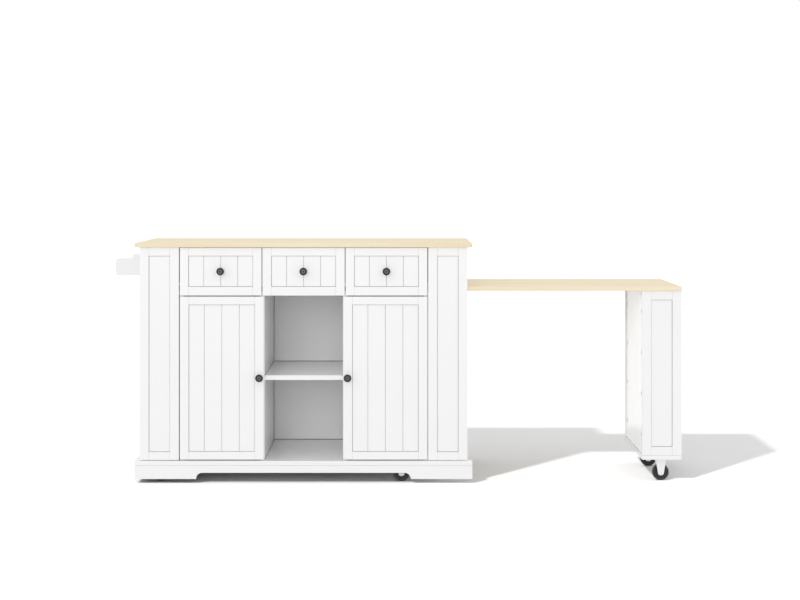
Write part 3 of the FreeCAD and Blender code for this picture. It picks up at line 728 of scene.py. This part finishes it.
def make_gapped(node, whole, opening):
    """A node's board with gaps cut in one side of it, and a dark strip at the bottom of them: bare board,
    painted darker as shade.
    """
    tools, linings = bmesh.new(), bmesh.new()
    for low, high in bay_gaps()[node]:
        corners = (low, high, low + opening * OVERLAP, high + opening * OVERLAP)
        add_strip(tools, *span(corners), CUTTER_EASE)
        add_strip(linings, *gap_lining(low, high, opening))
    mesh = bmesh.new()
    add_data(mesh, subtract(whole, tools))
    make_finished(node, mesh)
    make_piece(f"{node}_gaps", linings, node, look="gap_board")


def make_bay_shelf():
    """The open bay's fixed shelf."""
    whole = bmesh.new()
    add_board(whole, *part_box("centre_shelf"))
    make_gapped("centre_shelf", whole, UP)


# ---- framed fronts


# the recess's width, the bottom and top rails, and the distance between grooves where there are any
PILASTER = (82 * MM, 33 * MM, 33.6 * MM, None)
DOOR = (256.6 * MM, 30.8 * MM, 31.5 * MM, 68 * MM)
DRAWER_FRONT = (250.4 * MM, 34.3 * MM, 31.8 * MM, 66 * MM)
LEG_PANEL = (82 * MM, 33.8 * MM, 35.6 * MM, None)
RECESS_DEPTH = 5 * MM
SLOT_WIDTH = 1.2 * MM
SLOT_DEPTH = 3 * MM
JOINT_CUT = 1.6 * MM
LEG_FOOT_GAP = 0.5 * MM

# door hinge cups: the seat of each in its stile, and the cup and flange that fill it
CUP_RADIUS = 13 * MM
CUP_WALL = 1.2 * MM
CUP_DEPTH = 9.5 * MM
CUP_PLAY = 0.05 * MM
FLANGE_WIDTH = 20 * MM
FLANGE_HEIGHT = 44 * MM
FLANGE_THICK = 1.2 * MM
FLANGE_CORNER = 3 * MM
FLANGE_PLAY = 0.1 * MM
FLANGE_EASE = 0.15 * MM
SEAT_EASE = 0.05 * MM


def add_rail(mesh, low, high, facing):
    """A rail whose two ends are cut back at the show face, where they meet the stiles."""
    face_y, back_y = (low.y, high.y) if facing < 0 else (high.y, low.y)
    cut_y = face_y - facing * JOINT_CUT
    plan = [
        (low.x, back_y), (low.x, cut_y), (low.x + JOINT_CUT, face_y),
        (high.x - JOINT_CUT, face_y), (high.x, cut_y), (high.x, back_y),
    ]
    add_upright(mesh, plan, low.z, high.z, GROOVE_EASE)


def infill_depths(low, high, facing):
    """Where the show face of an infill lies, and the floor of the slot round it."""
    face_y = low.y + RECESS_DEPTH if facing < 0 else high.y - RECESS_DEPTH
    return face_y, face_y - facing * SLOT_DEPTH


def add_infill(mesh, low, high, facing, middles):
    """The panel inside a frame, set back, with a slot all round it and grooves at the middles."""
    face_y, floor_y = infill_depths(low, high, facing)
    near, far = sorted((floor_y, high.y if facing < 0 else low.y))
    add_strip(mesh, (low.x, near, low.z), (high.x, far, high.z))
    left, right = low.x + SLOT_WIDTH, high.x - SLOT_WIDTH
    plan = grooved_plan(left, right, face_y, floor_y - facing * OVERLAP, middles)
    add_upright(mesh, plan, low.z + SLOT_WIDTH, high.z - SLOT_WIDTH, GROOVE_EASE)


def make_linings(node, low, high, facing, middles):
    """The dark strips in the slot round an infill, bare board painted darker to stand for the shade in it,
    and the grey painted shade in its grooves.
    """
    face_y, floor_y = infill_depths(low, high, facing)
    near, far = floor_y - LINING, floor_y + LINING
    width = SLOT_WIDTH + LINING
    left, right = low.x + width, high.x - width
    mesh = bmesh.new()
    add_strip(mesh, (low.x, near, low.z), (left, far, high.z))
    add_strip(mesh, (right, near, low.z), (high.x, far, high.z))
    add_strip(mesh, (left, near, low.z), (right, far, low.z + width))
    add_strip(mesh, (left, near, high.z - width), (right, far, high.z))
    make_piece(f"{node}_slot", mesh, node, look="gap_board")
    if middles:
        make_groove_linings(node, middles, face_y, -facing, low.z + SLOT_WIDTH, high.z - SLOT_WIDTH)


def bored_stile(low, high, cups):
    """A stile with a round seat and a flat rebate in its back for each hinge cup."""
    back_y = high.y
    half_width, half_height = FLANGE_WIDTH / 2, FLANGE_HEIGHT / 2
    stile, seats = bmesh.new(), bmesh.new()
    add_board(stile, low, high)
    for cup_low, cup_high in cups:
        middle = (cup_low + cup_high) / 2
        start = Vector((middle.x, back_y + OVERLAP, middle.z))
        add_cylinder(seats, CUP_RADIUS, CUP_DEPTH + OVERLAP, start, TO_FRONT)
        rebate = rounded(
            (middle.x - half_width, middle.z - half_height), (middle.x + half_width, middle.z + half_height),
            FLANGE_CORNER,
        )
        add_level(seats, rebate, back_y - FLANGE_THICK, back_y + OVERLAP, SEAT_EASE, ROUND_ANGLE)
    return subtract(stile, seats)


def add_stile(mesh, low, high, cups):
    """A stile, bored for those of the hinge cups that lie in it."""
    own_cups = [cup for cup in cups if low.x < cup[0].x < high.x]
    if own_cups:
        add_data(mesh, bored_stile(low, high, own_cups))
    else:
        add_board(mesh, low, high)


def make_front(node, style, facing, foot=0, cups=()):
    """One framed front: two stiles, two rails and the infill between them."""
    recess, bottom_rail, top_rail, pitch = style
    low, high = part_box(node)
    left = (low.x + high.x - recess) / 2
    right = left + recess
    bottom, top = low.z + bottom_rail, high.z - top_rail
    low.z += foot
    mesh = bmesh.new()
    add_stile(mesh, low, Vector((left, high.y, high.z)), cups)
    add_stile(mesh, Vector((right, low.y, low.z)), high, cups)
    add_rail(mesh, Vector((left, low.y, low.z)), Vector((right, high.y, bottom)), facing)
    add_rail(mesh, Vector((left, low.y, top)), Vector((right, high.y, high.z)), facing)
    middle = (left + right) / 2
    middles = [middle + pitch * step for step in (-1, 0, 1)] if pitch else []
    inner_low, inner_high = Vector((left, low.y, bottom)), Vector((right, high.y, top))
    add_infill(mesh, inner_low, inner_high, facing, middles)
    make_finished(node, mesh)
    make_linings(node, inner_low, inner_high, facing, middles)


def make_fronts():
    """Every framed front: pilasters, doors, drawer fronts and the table leg's two panels."""
    for face, facing in FACES:
        for side in SIDES:
            make_front(f"{face}_{side}_pilaster", PILASTER, facing, FOOT_GAP)
        make_front(f"leg_{face}_panel", LEG_PANEL, facing, LEG_FOOT_GAP)
    for side in SIDES:
        make_front(f"{side}_door", DOOR, -1, cups=solids_of(f"{side}_hinge_cups"))
    for side in DRAWERS:
        make_front(f"{side}_drawer_front", DRAWER_FRONT, -1)


# ---- knobs


# radius and distance from the door or drawer front, in millimetres
KNOB_PROFILE = (
    (0, 0), (7.4, 0), (8.0, 0.4), (8.0, 1.2), (7.2, 1.9), (5.6, 2.6), (4.7, 4.2), (4.4, 7.5), (4.9, 11.5),
    (6.6, 14.0), (10.4, 15.6), (13.6, 17.2), (14.8, 19.2), (15.0, 21.2), (14.6, 23.2), (13.4, 24.8),
    (11.9, 25.6), (11.0, 25.5), (10.2, 24.5), (9.2, 24.2), (8.4, 24.6), (7.6, 25.6), (6.0, 26.3), (3.4, 26.4),
    (2.4, 25.9), (1.4, 24.4), (0, 24.0),
)
KNOB_RING_PROFILE = (
    (3.1, 25.9), (3.5, 26.7), (4.6, 27.0), (6.2, 26.9), (7.5, 26.3), (8.1, 25.4), (7.7, 25.0), (3.4, 25.4),
)
KNOB_STEPS = 56


def make_knobs():
    """The five turned knobs, each with a lighter ring round a dimple, worn and painted as a highlight."""
    names = [f"{side}_door_knob" for side in SIDES]
    names += [f"{side}_drawer_knob" for side in DRAWERS]
    for node in names:
        low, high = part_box(node)
        start = middle_at(low, high, high.y)
        body, ring = bmesh.new(), bmesh.new()
        add_turned(body, from_mm(KNOB_PROFILE), start, TO_FRONT, KNOB_STEPS)
        add_turned(ring, from_mm(KNOB_RING_PROFILE), start, TO_FRONT, KNOB_STEPS, closed=True)
        make_finished(node, body, smooth_below=50)
        make_piece(f"{node}_ring", ring, node, smooth_below=50, look="worn_metal")


# ---- hinges


CUP_SCREW_PLACE = 17 * MM
CUP_SCREW_SINK = 0.3 * MM
CUP_PIN_RADIUS = 1.6 * MM
CUP_PIN_PLAY = 0.5 * MM

# plate and arm: the arm stops short of the plate's tail, and narrows towards its nose and its tail
HINGE_PLATE_THICK = 3 * MM
HINGE_PLATE_DEPTH = 46 * MM
HINGE_PLATE_CORNER = 6 * MM
HINGE_PLATE_EASE = 0.5 * MM
WING_SCREW_PLACE = 4.5 * MM
ARM_HEIGHT = 13 * MM
ARM_STOP = 10 * MM
ARM_EASE = 0.9 * MM
NOSE_RUN = 6 * MM
NOSE_SHARE = 0.55
TAIL_RUN = 3 * MM
TAIL_SHARE = 0.6
NOSE_SCREW_PLACE = 14 * MM
TAIL_SCREW_PLACE = 9 * MM

# the middle of the cabinet, which stands to the left of the whole object's middle
CABINET_X = -366.5 * MM


def make_hinge_cups():
    """A pressed cup with winged flange, two screws and a pivot pin, let in flush in each door's back."""
    for side in SIDES:
        node = f"{side}_hinge_cups"
        mesh = bmesh.new()
        for low, high in solids_of(node):
            add_hinge_cup(mesh, middle_at(low, high, high.y))
        make_finished(node, mesh, smooth_below=40)


def add_hinge_cup(mesh, mouth):
    """One cup, from the middle of its mouth."""
    outer, inner = CUP_RADIUS - CUP_PLAY, CUP_RADIUS - CUP_WALL
    depth = CUP_DEPTH - FLANGE_PLAY
    floor = depth - CUP_WALL
    profile = [(0, depth), (outer, depth), (outer, 0), (inner, 0), (inner, floor), (0, floor)]
    add_turned(mesh, profile, mouth, TO_FRONT)
    for sign in (-1, 1):
        add_cup_wing(mesh, mouth, outer, sign)
        place = mouth + Vector((0, -CUP_SCREW_SINK, sign * CUP_SCREW_PLACE))
        add_screw(mesh, place, TO_BACK, *CUP_SCREW)
    reach = inner - CUP_PIN_PLAY
    add_cylinder(mesh, CUP_PIN_RADIUS, 2 * reach, mouth + TO_FRONT * (depth / 2) + DOWN * reach, UP, steps=16)


def add_cup_wing(mesh, mouth, radius, sign):
    """The wing of a cup's flange above the cup, or below it."""
    half_width, half_height = FLANGE_WIDTH / 2 - FLANGE_PLAY, FLANGE_HEIGHT / 2 - FLANGE_PLAY
    wing = arc((0, 0), radius, 40, 140, 12)
    wing += [(-half_width, half_height - FLANGE_CORNER), (-half_width + FLANGE_CORNER, half_height)]
    wing += [(half_width - FLANGE_CORNER, half_height), (half_width, half_height - FLANGE_CORNER)]
    points = [mouth + Vector((x, 0, sign * z)) for x, z in wing]
    add_prism(mesh, points, TO_FRONT * (FLANGE_THICK - FLANGE_PLAY), FLANGE_EASE, ROUND_ANGLE)


def make_hinge_arms():
    """The mounting plates and arms on the partitions, with their screws."""
    mesh = bmesh.new()
    for low, high in solids_of("hinge_arms"):
        hand = 1 if (low.x + high.x) / 2 > CABINET_X else -1
        add_hinge_arm(mesh, low, high, hand)
    make_finished("hinge_arms", mesh, smooth_below=40)


def add_hinge_arm(mesh, low, high, hand):
    """One winged plate against its wall, to the right where hand is 1, and the arm clipped on it."""
    wall, inner = (high.x, low.x) if hand > 0 else (low.x, high.x)
    plate_start = high.y - HINGE_PLATE_DEPTH
    face = wall - hand * HINGE_PLATE_THICK
    plate = rounded((plate_start, low.z), (high.y, high.z), HINGE_PLATE_CORNER)
    add_prism(mesh, [(face, y, z) for y, z in plate], TO_RIGHT * (wall - face), HINGE_PLATE_EASE)
    middle = (low.z + high.z) / 2
    tail = high.y - ARM_STOP
    points = [(inner, y, middle + z) for y, z in hinge_arm_outline(low.y, tail)]
    add_prism(mesh, points, TO_RIGHT * (face - inner), ARM_EASE)
    for y in (low.y + NOSE_SCREW_PLACE, tail - TAIL_SCREW_PLACE):
        add_screw(mesh, Vector((inner, y, middle)), TO_RIGHT * -hand, *SMALL_SCREW)
    for z in (low.z + WING_SCREW_PLACE, high.z - WING_SCREW_PLACE):
        place = Vector((face, (plate_start + high.y) / 2, z))
        add_screw(mesh, place, TO_RIGHT * -hand, *WING_SCREW)


def hinge_arm_outline(nose, tail):
    """An arm seen from the side, as pairs of Y and height above its middle."""
    half = ARM_HEIGHT / 2
    edge = [
        (nose, half * NOSE_SHARE), (nose + NOSE_RUN, half),
        (tail - TAIL_RUN, half), (tail, half * TAIL_SHARE),
    ]
    return [(y, -reach) for y, reach in edge] + [(y, reach) for y, reach in reversed(edge)]


# ---- drawer slides


SLIDE_METAL = 1.5 * MM
SLIDE_EASE = 0.3 * MM

# along the slide, as shares of its length
SLIDE_SCREWS = (0.09, 0.46, 0.91)


def make_slides():
    """Steel channels on the cabinet and the runners in them on the drawer boxes."""
    make_channels("drawer_slide_rails", 1)
    for side in DRAWERS:
        make_channels(f"{side}_drawer_runners", -1)


def make_channels(node, first_opens):
    """A node's channels, which open to one side and the other in turn, from left to right."""
    mesh = bmesh.new()
    for index, (low, high) in enumerate(solids_of(node)):
        add_channel(mesh, low, high, first_opens if index % 2 == 0 else -first_opens)
    make_finished(node, mesh)


def add_channel(mesh, low, high, opens):
    """A channel along Y whose open side faces +X or -X, with screws through its web."""
    web, lip = (low.x, high.x) if opens > 0 else (high.x, low.x)
    inside = web + opens * SLIDE_METAL
    section = [
        (web, low.z), (lip, low.z), (lip, low.z + SLIDE_METAL), (inside, low.z + SLIDE_METAL),
        (inside, high.z - SLIDE_METAL), (lip, high.z - SLIDE_METAL), (lip, high.z), (web, high.z),
    ]
    add_level(mesh, section, low.y, high.y, SLIDE_EASE)
    for share in SLIDE_SCREWS:
        place = Vector((inside, low.y + (high.y - low.y) * share, (low.z + high.z) / 2))
        add_screw(mesh, place, TO_RIGHT * opens, *SMALL_SCREW)


# ---- towel rack


RACK_CORNER = 12 * MM
RACK_EASE = 1.4 * MM
BAR_EASE = 0.8 * MM


def make_rack_brackets():
    """Two flat brackets, rounded at their free ends."""
    mesh = bmesh.new()
    for low, high in solids_of("rack_brackets"):
        corner_x = low.x + RACK_CORNER
        front_view = [(high.x, low.z), (high.x, high.z)]
        front_view += arc((corner_x, high.z - RACK_CORNER), RACK_CORNER, 90, 180, 10)
        front_view += arc((corner_x, low.z + RACK_CORNER), RACK_CORNER, 180, 270, 10)
        add_level(mesh, front_view, low.y, high.y, RACK_EASE)
    make_finished("rack_brackets", mesh)


def make_rack_bar():
    """The round bar between the brackets."""
    low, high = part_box("rack_bar")
    radius = (high.z - low.z) / 2
    length = high.y - low.y
    profile = [
        (0, 0), (radius - BAR_EASE, 0), (radius, BAR_EASE),
        (radius, length - BAR_EASE), (radius - BAR_EASE, length), (0, length),
    ]
    mesh = bmesh.new()
    add_turned(mesh, profile, middle_at(low, high, low.y), TO_BACK, steps=64)
    make_finished("rack_bar", mesh, smooth_below=40)


# ---- casters


CASTERS = {
    "cabinet": ("left_front_wheel", "left_rear_wheel", "right_front_wheel", "right_rear_wheel"),
    "leg": ("leg_front_wheel", "leg_rear_wheel"),
}

# forks
FORK_GAP = 25 * MM
FORK_METAL = 2.5 * MM
FORK_TOP_WIDTH = 43 * MM
FORK_TIP_DROP = 12 * MM
FORK_TIP_ROUND = 9.5 * MM
FORK_TIP_FLAT = 2 * MM
FORK_EASE = 0.7 * MM
PLATE_LENGTH = 64 * MM
PLATE_WIDTH = 52 * MM
PLATE_CORNER = 4 * MM
PLATE_EASE = 0.5 * MM
PLATE_SCREW_X = 26 * MM
PLATE_SCREW_Y = 20.5 * MM

# halves of turned parts, in millimetres: radius, and distance past the cheek or from the wheel's middle
AXLE_HALF = ((0, 1), (1.5, 1), (1.9, 2.5), (3.4, 2.5), (5.2, 1.8), (6.305, 0.75), (6.5, 0), (4, 0))
TYRE_HALF = ((24.2, 10.2), (29.6, 10.8), (31.2, 9.6), (31.8, 7.0), (32.0, 3.2), (31.6, 2.7))
CORE_HALF = (
    (4.1, 12.2), (8.6, 12.2), (9.2, 11.6), (10.2, 7.4), (11.4, 6.8), (20.6, 6.8), (21.8, 7.6), (22.4, 10.6),
    (24.6, 10.9),
)


def make_casters():
    """Pressed forks, hollow rivets for axles, and wheels with a tyre round a black core, which is painted a
    little darker still as shade.
    """
    for group, wheels in CASTERS.items():
        forks, axles = bmesh.new(), bmesh.new()
        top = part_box(f"{group}_caster_forks")[1].z
        for wheel in wheels:
            low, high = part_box(wheel)
            middle = (low + high) / 2
            add_fork(forks, middle, top)
            add_axle(axles, middle)
            make_wheel(wheel, middle)
        make_finished(f"{group}_caster_forks", forks)
        make_finished(f"{group}_caster_axles", axles, smooth_below=40, look="caster_white")


def add_fork(mesh, middle, top):
    """One fork: two tapered cheeks with round tips, and a screwed plate."""
    tip_z = middle.z - FORK_TIP_DROP + FORK_TIP_ROUND
    cheek = arc((FORK_TIP_FLAT, tip_z), FORK_TIP_ROUND, 0, -90, 8)
    cheek += arc((-FORK_TIP_FLAT, tip_z), FORK_TIP_ROUND, -90, -180, 8)
    shoulder, shoulder_z = FORK_TOP_WIDTH / 2, top - FORK_METAL / 2
    cheek += [(-shoulder, shoulder_z), (shoulder, shoulder_z)]
    for side in (-1, 1):
        near = middle.y + side * FORK_GAP / 2
        points = [(middle.x + x, near, z) for x, z in cheek]
        add_prism(mesh, points, TO_BACK * (side * FORK_METAL), FORK_EASE)
    half_length, half_width = PLATE_LENGTH / 2, PLATE_WIDTH / 2
    plate = rounded((-half_length, -half_width), (half_length, half_width), PLATE_CORNER)
    points = [(middle.x + x, middle.y + y, top) for x, y in plate]
    add_prism(mesh, points, DOWN * FORK_METAL, PLATE_EASE)
    for x in (-PLATE_SCREW_X, PLATE_SCREW_X):
        for y in (-PLATE_SCREW_Y, PLATE_SCREW_Y):
            place = Vector((middle.x + x, middle.y + y, top - FORK_METAL))
            add_screw(mesh, place, DOWN, *CASTER_SCREW)


def add_axle(mesh, middle):
    """A rivet through both cheeks, domed and hollow at its ends."""
    profile = mirrored(from_mm(AXLE_HALF), FORK_GAP / 2 + FORK_METAL)
    add_turned(mesh, profile, middle, TO_BACK, steps=32)


def make_wheel(node, middle):
    """A wheel: the core that stands for the node, and its tyre."""
    core, tyre = bmesh.new(), bmesh.new()
    for mesh, half in ((core, CORE_HALF), (tyre, TYRE_HALF)):
        add_turned(mesh, mirrored(from_mm(half)), middle, TO_BACK, steps=72, closed=True)
    make_finished(node, core, smooth_below=35, look="wheel_core")
    make_piece(f"{node}_tyre", tyre, node, smooth_below=35)


# ---- small fittings


# round covers over the cams
COVER_HEIGHTS = (177 * MM, 338 * MM, 499 * MM, 660 * MM, 728 * MM)
COVER_SPREAD = 205 * MM

# radius and distance from the board's face, in millimetres
COVER_PROFILE = ((0, -0.5), (7.4, -0.5), (7.4, 0.2), (6.9, 0.6), (3, 0.75), (0, 0.8))
PIN_PROFILE = ((0, -2), (2.5, -2), (2.5, 8), (1.8, 8.7), (0, 8.7))

# shelf pins: from the shelf's ends, and from its underside
PIN_INSET = 40 * MM
PIN_DROP = 2.6 * MM


def make_cam_covers():
    """The round covers over the cams, on the inner face of the table's leg."""
    low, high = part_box("leg_inner_panel")
    middle = (low.y + high.y) / 2
    mesh = bmesh.new()
    for z in COVER_HEIGHTS:
        for spread in (-COVER_SPREAD, COVER_SPREAD):
            place = Vector((low.x, middle + spread, z))
            add_turned(mesh, from_mm(COVER_PROFILE), place, TO_LEFT, steps=28)
    # the covers take the grey of the painted groove shade, which stands in for the shade in the cams'
    # recesses
    make_piece("leg_cam_covers", mesh, "leg_inner_panel", smooth_below=40, look="groove_paint")


def make_shelf_pins():
    """Four steel pins under each shelf behind the doors."""
    mesh = bmesh.new()
    for side in SIDES:
        low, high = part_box(f"{side}_shelf")
        for x, inward in ((low.x, TO_RIGHT), (high.x, TO_LEFT)):
            for y in (low.y + PIN_INSET, high.y - PIN_INSET):
                place = Vector((x, y, low.z - PIN_DROP))
                add_turned(mesh, from_mm(PIN_PROFILE), place, inward, steps=20)
    make_piece("shelf_pins", mesh, "left_shelf", "steel", smooth_below=40)


def make_knob_screw(knob, holder, inside, size):
    """The screw that holds a knob, seen on the inner face of the door or the drawer box."""
    mesh = bmesh.new()
    add_screw(mesh, middle_at(*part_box(knob), inside), TO_BACK, *size)
    make_piece(f"{knob}_screw", mesh, holder, "steel", smooth_below=40)


def make_knob_screws():
    """The screws of all the knobs."""
    for side in SIDES:
        door = f"{side}_door"
        make_knob_screw(f"{door}_knob", door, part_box(door)[1].y, DOOR_KNOB_SCREW)
    for side in DRAWERS:
        box = f"{side}_drawer_box"
        make_knob_screw(f"{side}_drawer_knob", box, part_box(box)[0].y + BOX_WALL, DRAWER_KNOB_SCREW)


make_boards()
make_drawer_boxes()
make_tops()
make_floor_board()
make_plinths()
make_back()
make_bay_shelf()
make_fronts()
make_knobs()
make_hinge_cups()
make_hinge_arms()
make_slides()
make_rack_brackets()
make_rack_bar()
make_casters()
make_cam_covers()
make_shelf_pins()
make_knob_screws()


# ---- floor, light and camera


FLOOR_SIZE = 120
FLOOR_BOUNCE = (0.48, 0.48, 0.48, 1)
FLOOR_SEEN = (0.81, 0.81, 0.81, 1)
SKY_STRENGTH = 0.88

# distant lamps: name, strength, spread in degrees, and the direction that they shine in
SOFT_LAMPS = (
    ("window_lamp", 0.16, 60, (0.64, 0.77, -0.3)),
    ("front_lamp", 0.52, 26, (0.09, 1, -0.15)),
    ("right_lamp", 0.1, 60, (-0.7, 0.7, -0.2)),
)
SUN_LAMP = ("sun_lamp", 2.7, 3, (0.72, 1.03, -1))
LEG_LAMP = ("leg_lamp", 1.15, 30, (0.66, 0.75, -0.27))

CAMERA_PLACE = (-0.0085, -7.1895, 1.181)
CAMERA_LENS = 80.15
CAMERA_SENSOR = 36
CAMERA_SHIFT = (0.0052, -0.1519)
CAMERA_REACH = 200


def seen_or_mirrored(tree):
    """A value that is 1 for what the camera sees, straight or mirrored, and 0 for what lights things."""
    path = tree.nodes.new("ShaderNodeLightPath")
    either = path.outputs["Is Camera Ray"]
    for kind in ("Is Glossy Ray", "Is Transmission Ray"):
        larger = tree.nodes.new("ShaderNodeMath")
        larger.operation = "MAXIMUM"
        tree.links.new(either, larger.inputs[0])
        tree.links.new(path.outputs[kind], larger.inputs[1])
        either = larger.outputs[0]
    return either


def make_floor_material():
    """A white floor that shows as white to the camera and in reflections, and keeps shadows."""
    material = bpy.data.materials.new("studio_floor")
    material.use_nodes = True
    tree = material.node_tree
    tree.nodes.clear()
    output = tree.nodes.new("ShaderNodeOutputMaterial")
    plain = tree.nodes.new("ShaderNodeBsdfDiffuse")
    colour = tree.nodes.new("ShaderNodeMix")
    colour.data_type = "RGBA"
    colour.inputs[MIX_FIRST].default_value = FLOOR_BOUNCE
    colour.inputs[MIX_SECOND].default_value = FLOOR_SEEN
    tree.links.new(seen_or_mirrored(tree), colour.inputs[MIX_SHARE])
    tree.links.new(colour.outputs[MIX_RESULT], plain.inputs["Color"])
    tree.links.new(plain.outputs["BSDF"], output.inputs["Surface"])
    return material


def make_floor():
    """The wide floor that the island stands on."""
    mesh = bmesh.new()
    bmesh.ops.create_grid(mesh, x_segments=1, y_segments=1, size=FLOOR_SIZE / 2)
    data = bpy.data.meshes.new("studio_floor")
    mesh.to_mesh(data)
    mesh.free()
    floor = bpy.data.objects.new("studio_floor", data)
    data.materials.append(make_floor_material())


def add_lamp(name, strength, spread, run):
    """A distant lamp that shines along a run."""
    lamp = bpy.data.lights.new(name, "SUN")
    lamp.energy = strength
    lamp.angle = math.radians(spread)
    item = add_object(name, lamp)
    item.rotation_mode = "QUATERNION"
    item.rotation_quaternion = Vector(run).to_track_quat("-Z", "Y")
    return item


def limit_lamp(lamp, name):
    """Lets a lamp light only the named thing."""
    lit = bpy.data.collections.new(f"lit_by_the_{lamp.name}")
    bpy.context.scene.collection.children.link(lit)
    lit.objects.link(bpy.data.objects[name])
    lamp.light_linking.receiver_collection = lit


def make_lamps():
    """The soft lamps, the one that throws the shadow on the floor, and the one on the leg's inner side."""
    for lamp in SOFT_LAMPS:
        add_lamp(*lamp)
    limit_lamp(add_lamp(*SUN_LAMP), "studio_floor")
    limit_lamp(add_lamp(*LEG_LAMP), "finished_leg_inner_panel")


def make_sky():
    """An even white surround that shows as plain white and lights a little less."""
    world = bpy.data.worlds.new("studio")
    world.use_nodes = True
    tree = world.node_tree
    sky = tree.nodes["Background"]
    sky.inputs["Color"].default_value = (1, 1, 1, 1)
    strength = tree.nodes.new("ShaderNodeMapRange")
    strength.inputs["To Min"].default_value = SKY_STRENGTH
    strength.inputs["To Max"].default_value = 1
    tree.links.new(seen_or_mirrored(tree), strength.inputs["Value"])
    tree.links.new(strength.outputs["Result"], sky.inputs["Strength"])
    bpy.context.scene.world = world


def make_camera():
    """The photograph's view: level, straight on, with the frame shifted down."""
    camera = bpy.data.cameras.new("photo_camera")
    camera.lens = CAMERA_LENS
    camera.sensor_width = CAMERA_SENSOR
    camera.shift_x, camera.shift_y = CAMERA_SHIFT
    camera.clip_end = CAMERA_REACH
    item = add_object("photo_camera", camera)
    item.location = CAMERA_PLACE
    item.rotation_euler = (math.radians(90), 0, 0)
    bpy.context.scene.camera = item


make_floor()
make_lamps()
make_sky()
make_camera()
bpy.context.scene.view_settings.view_transform = "Standard"
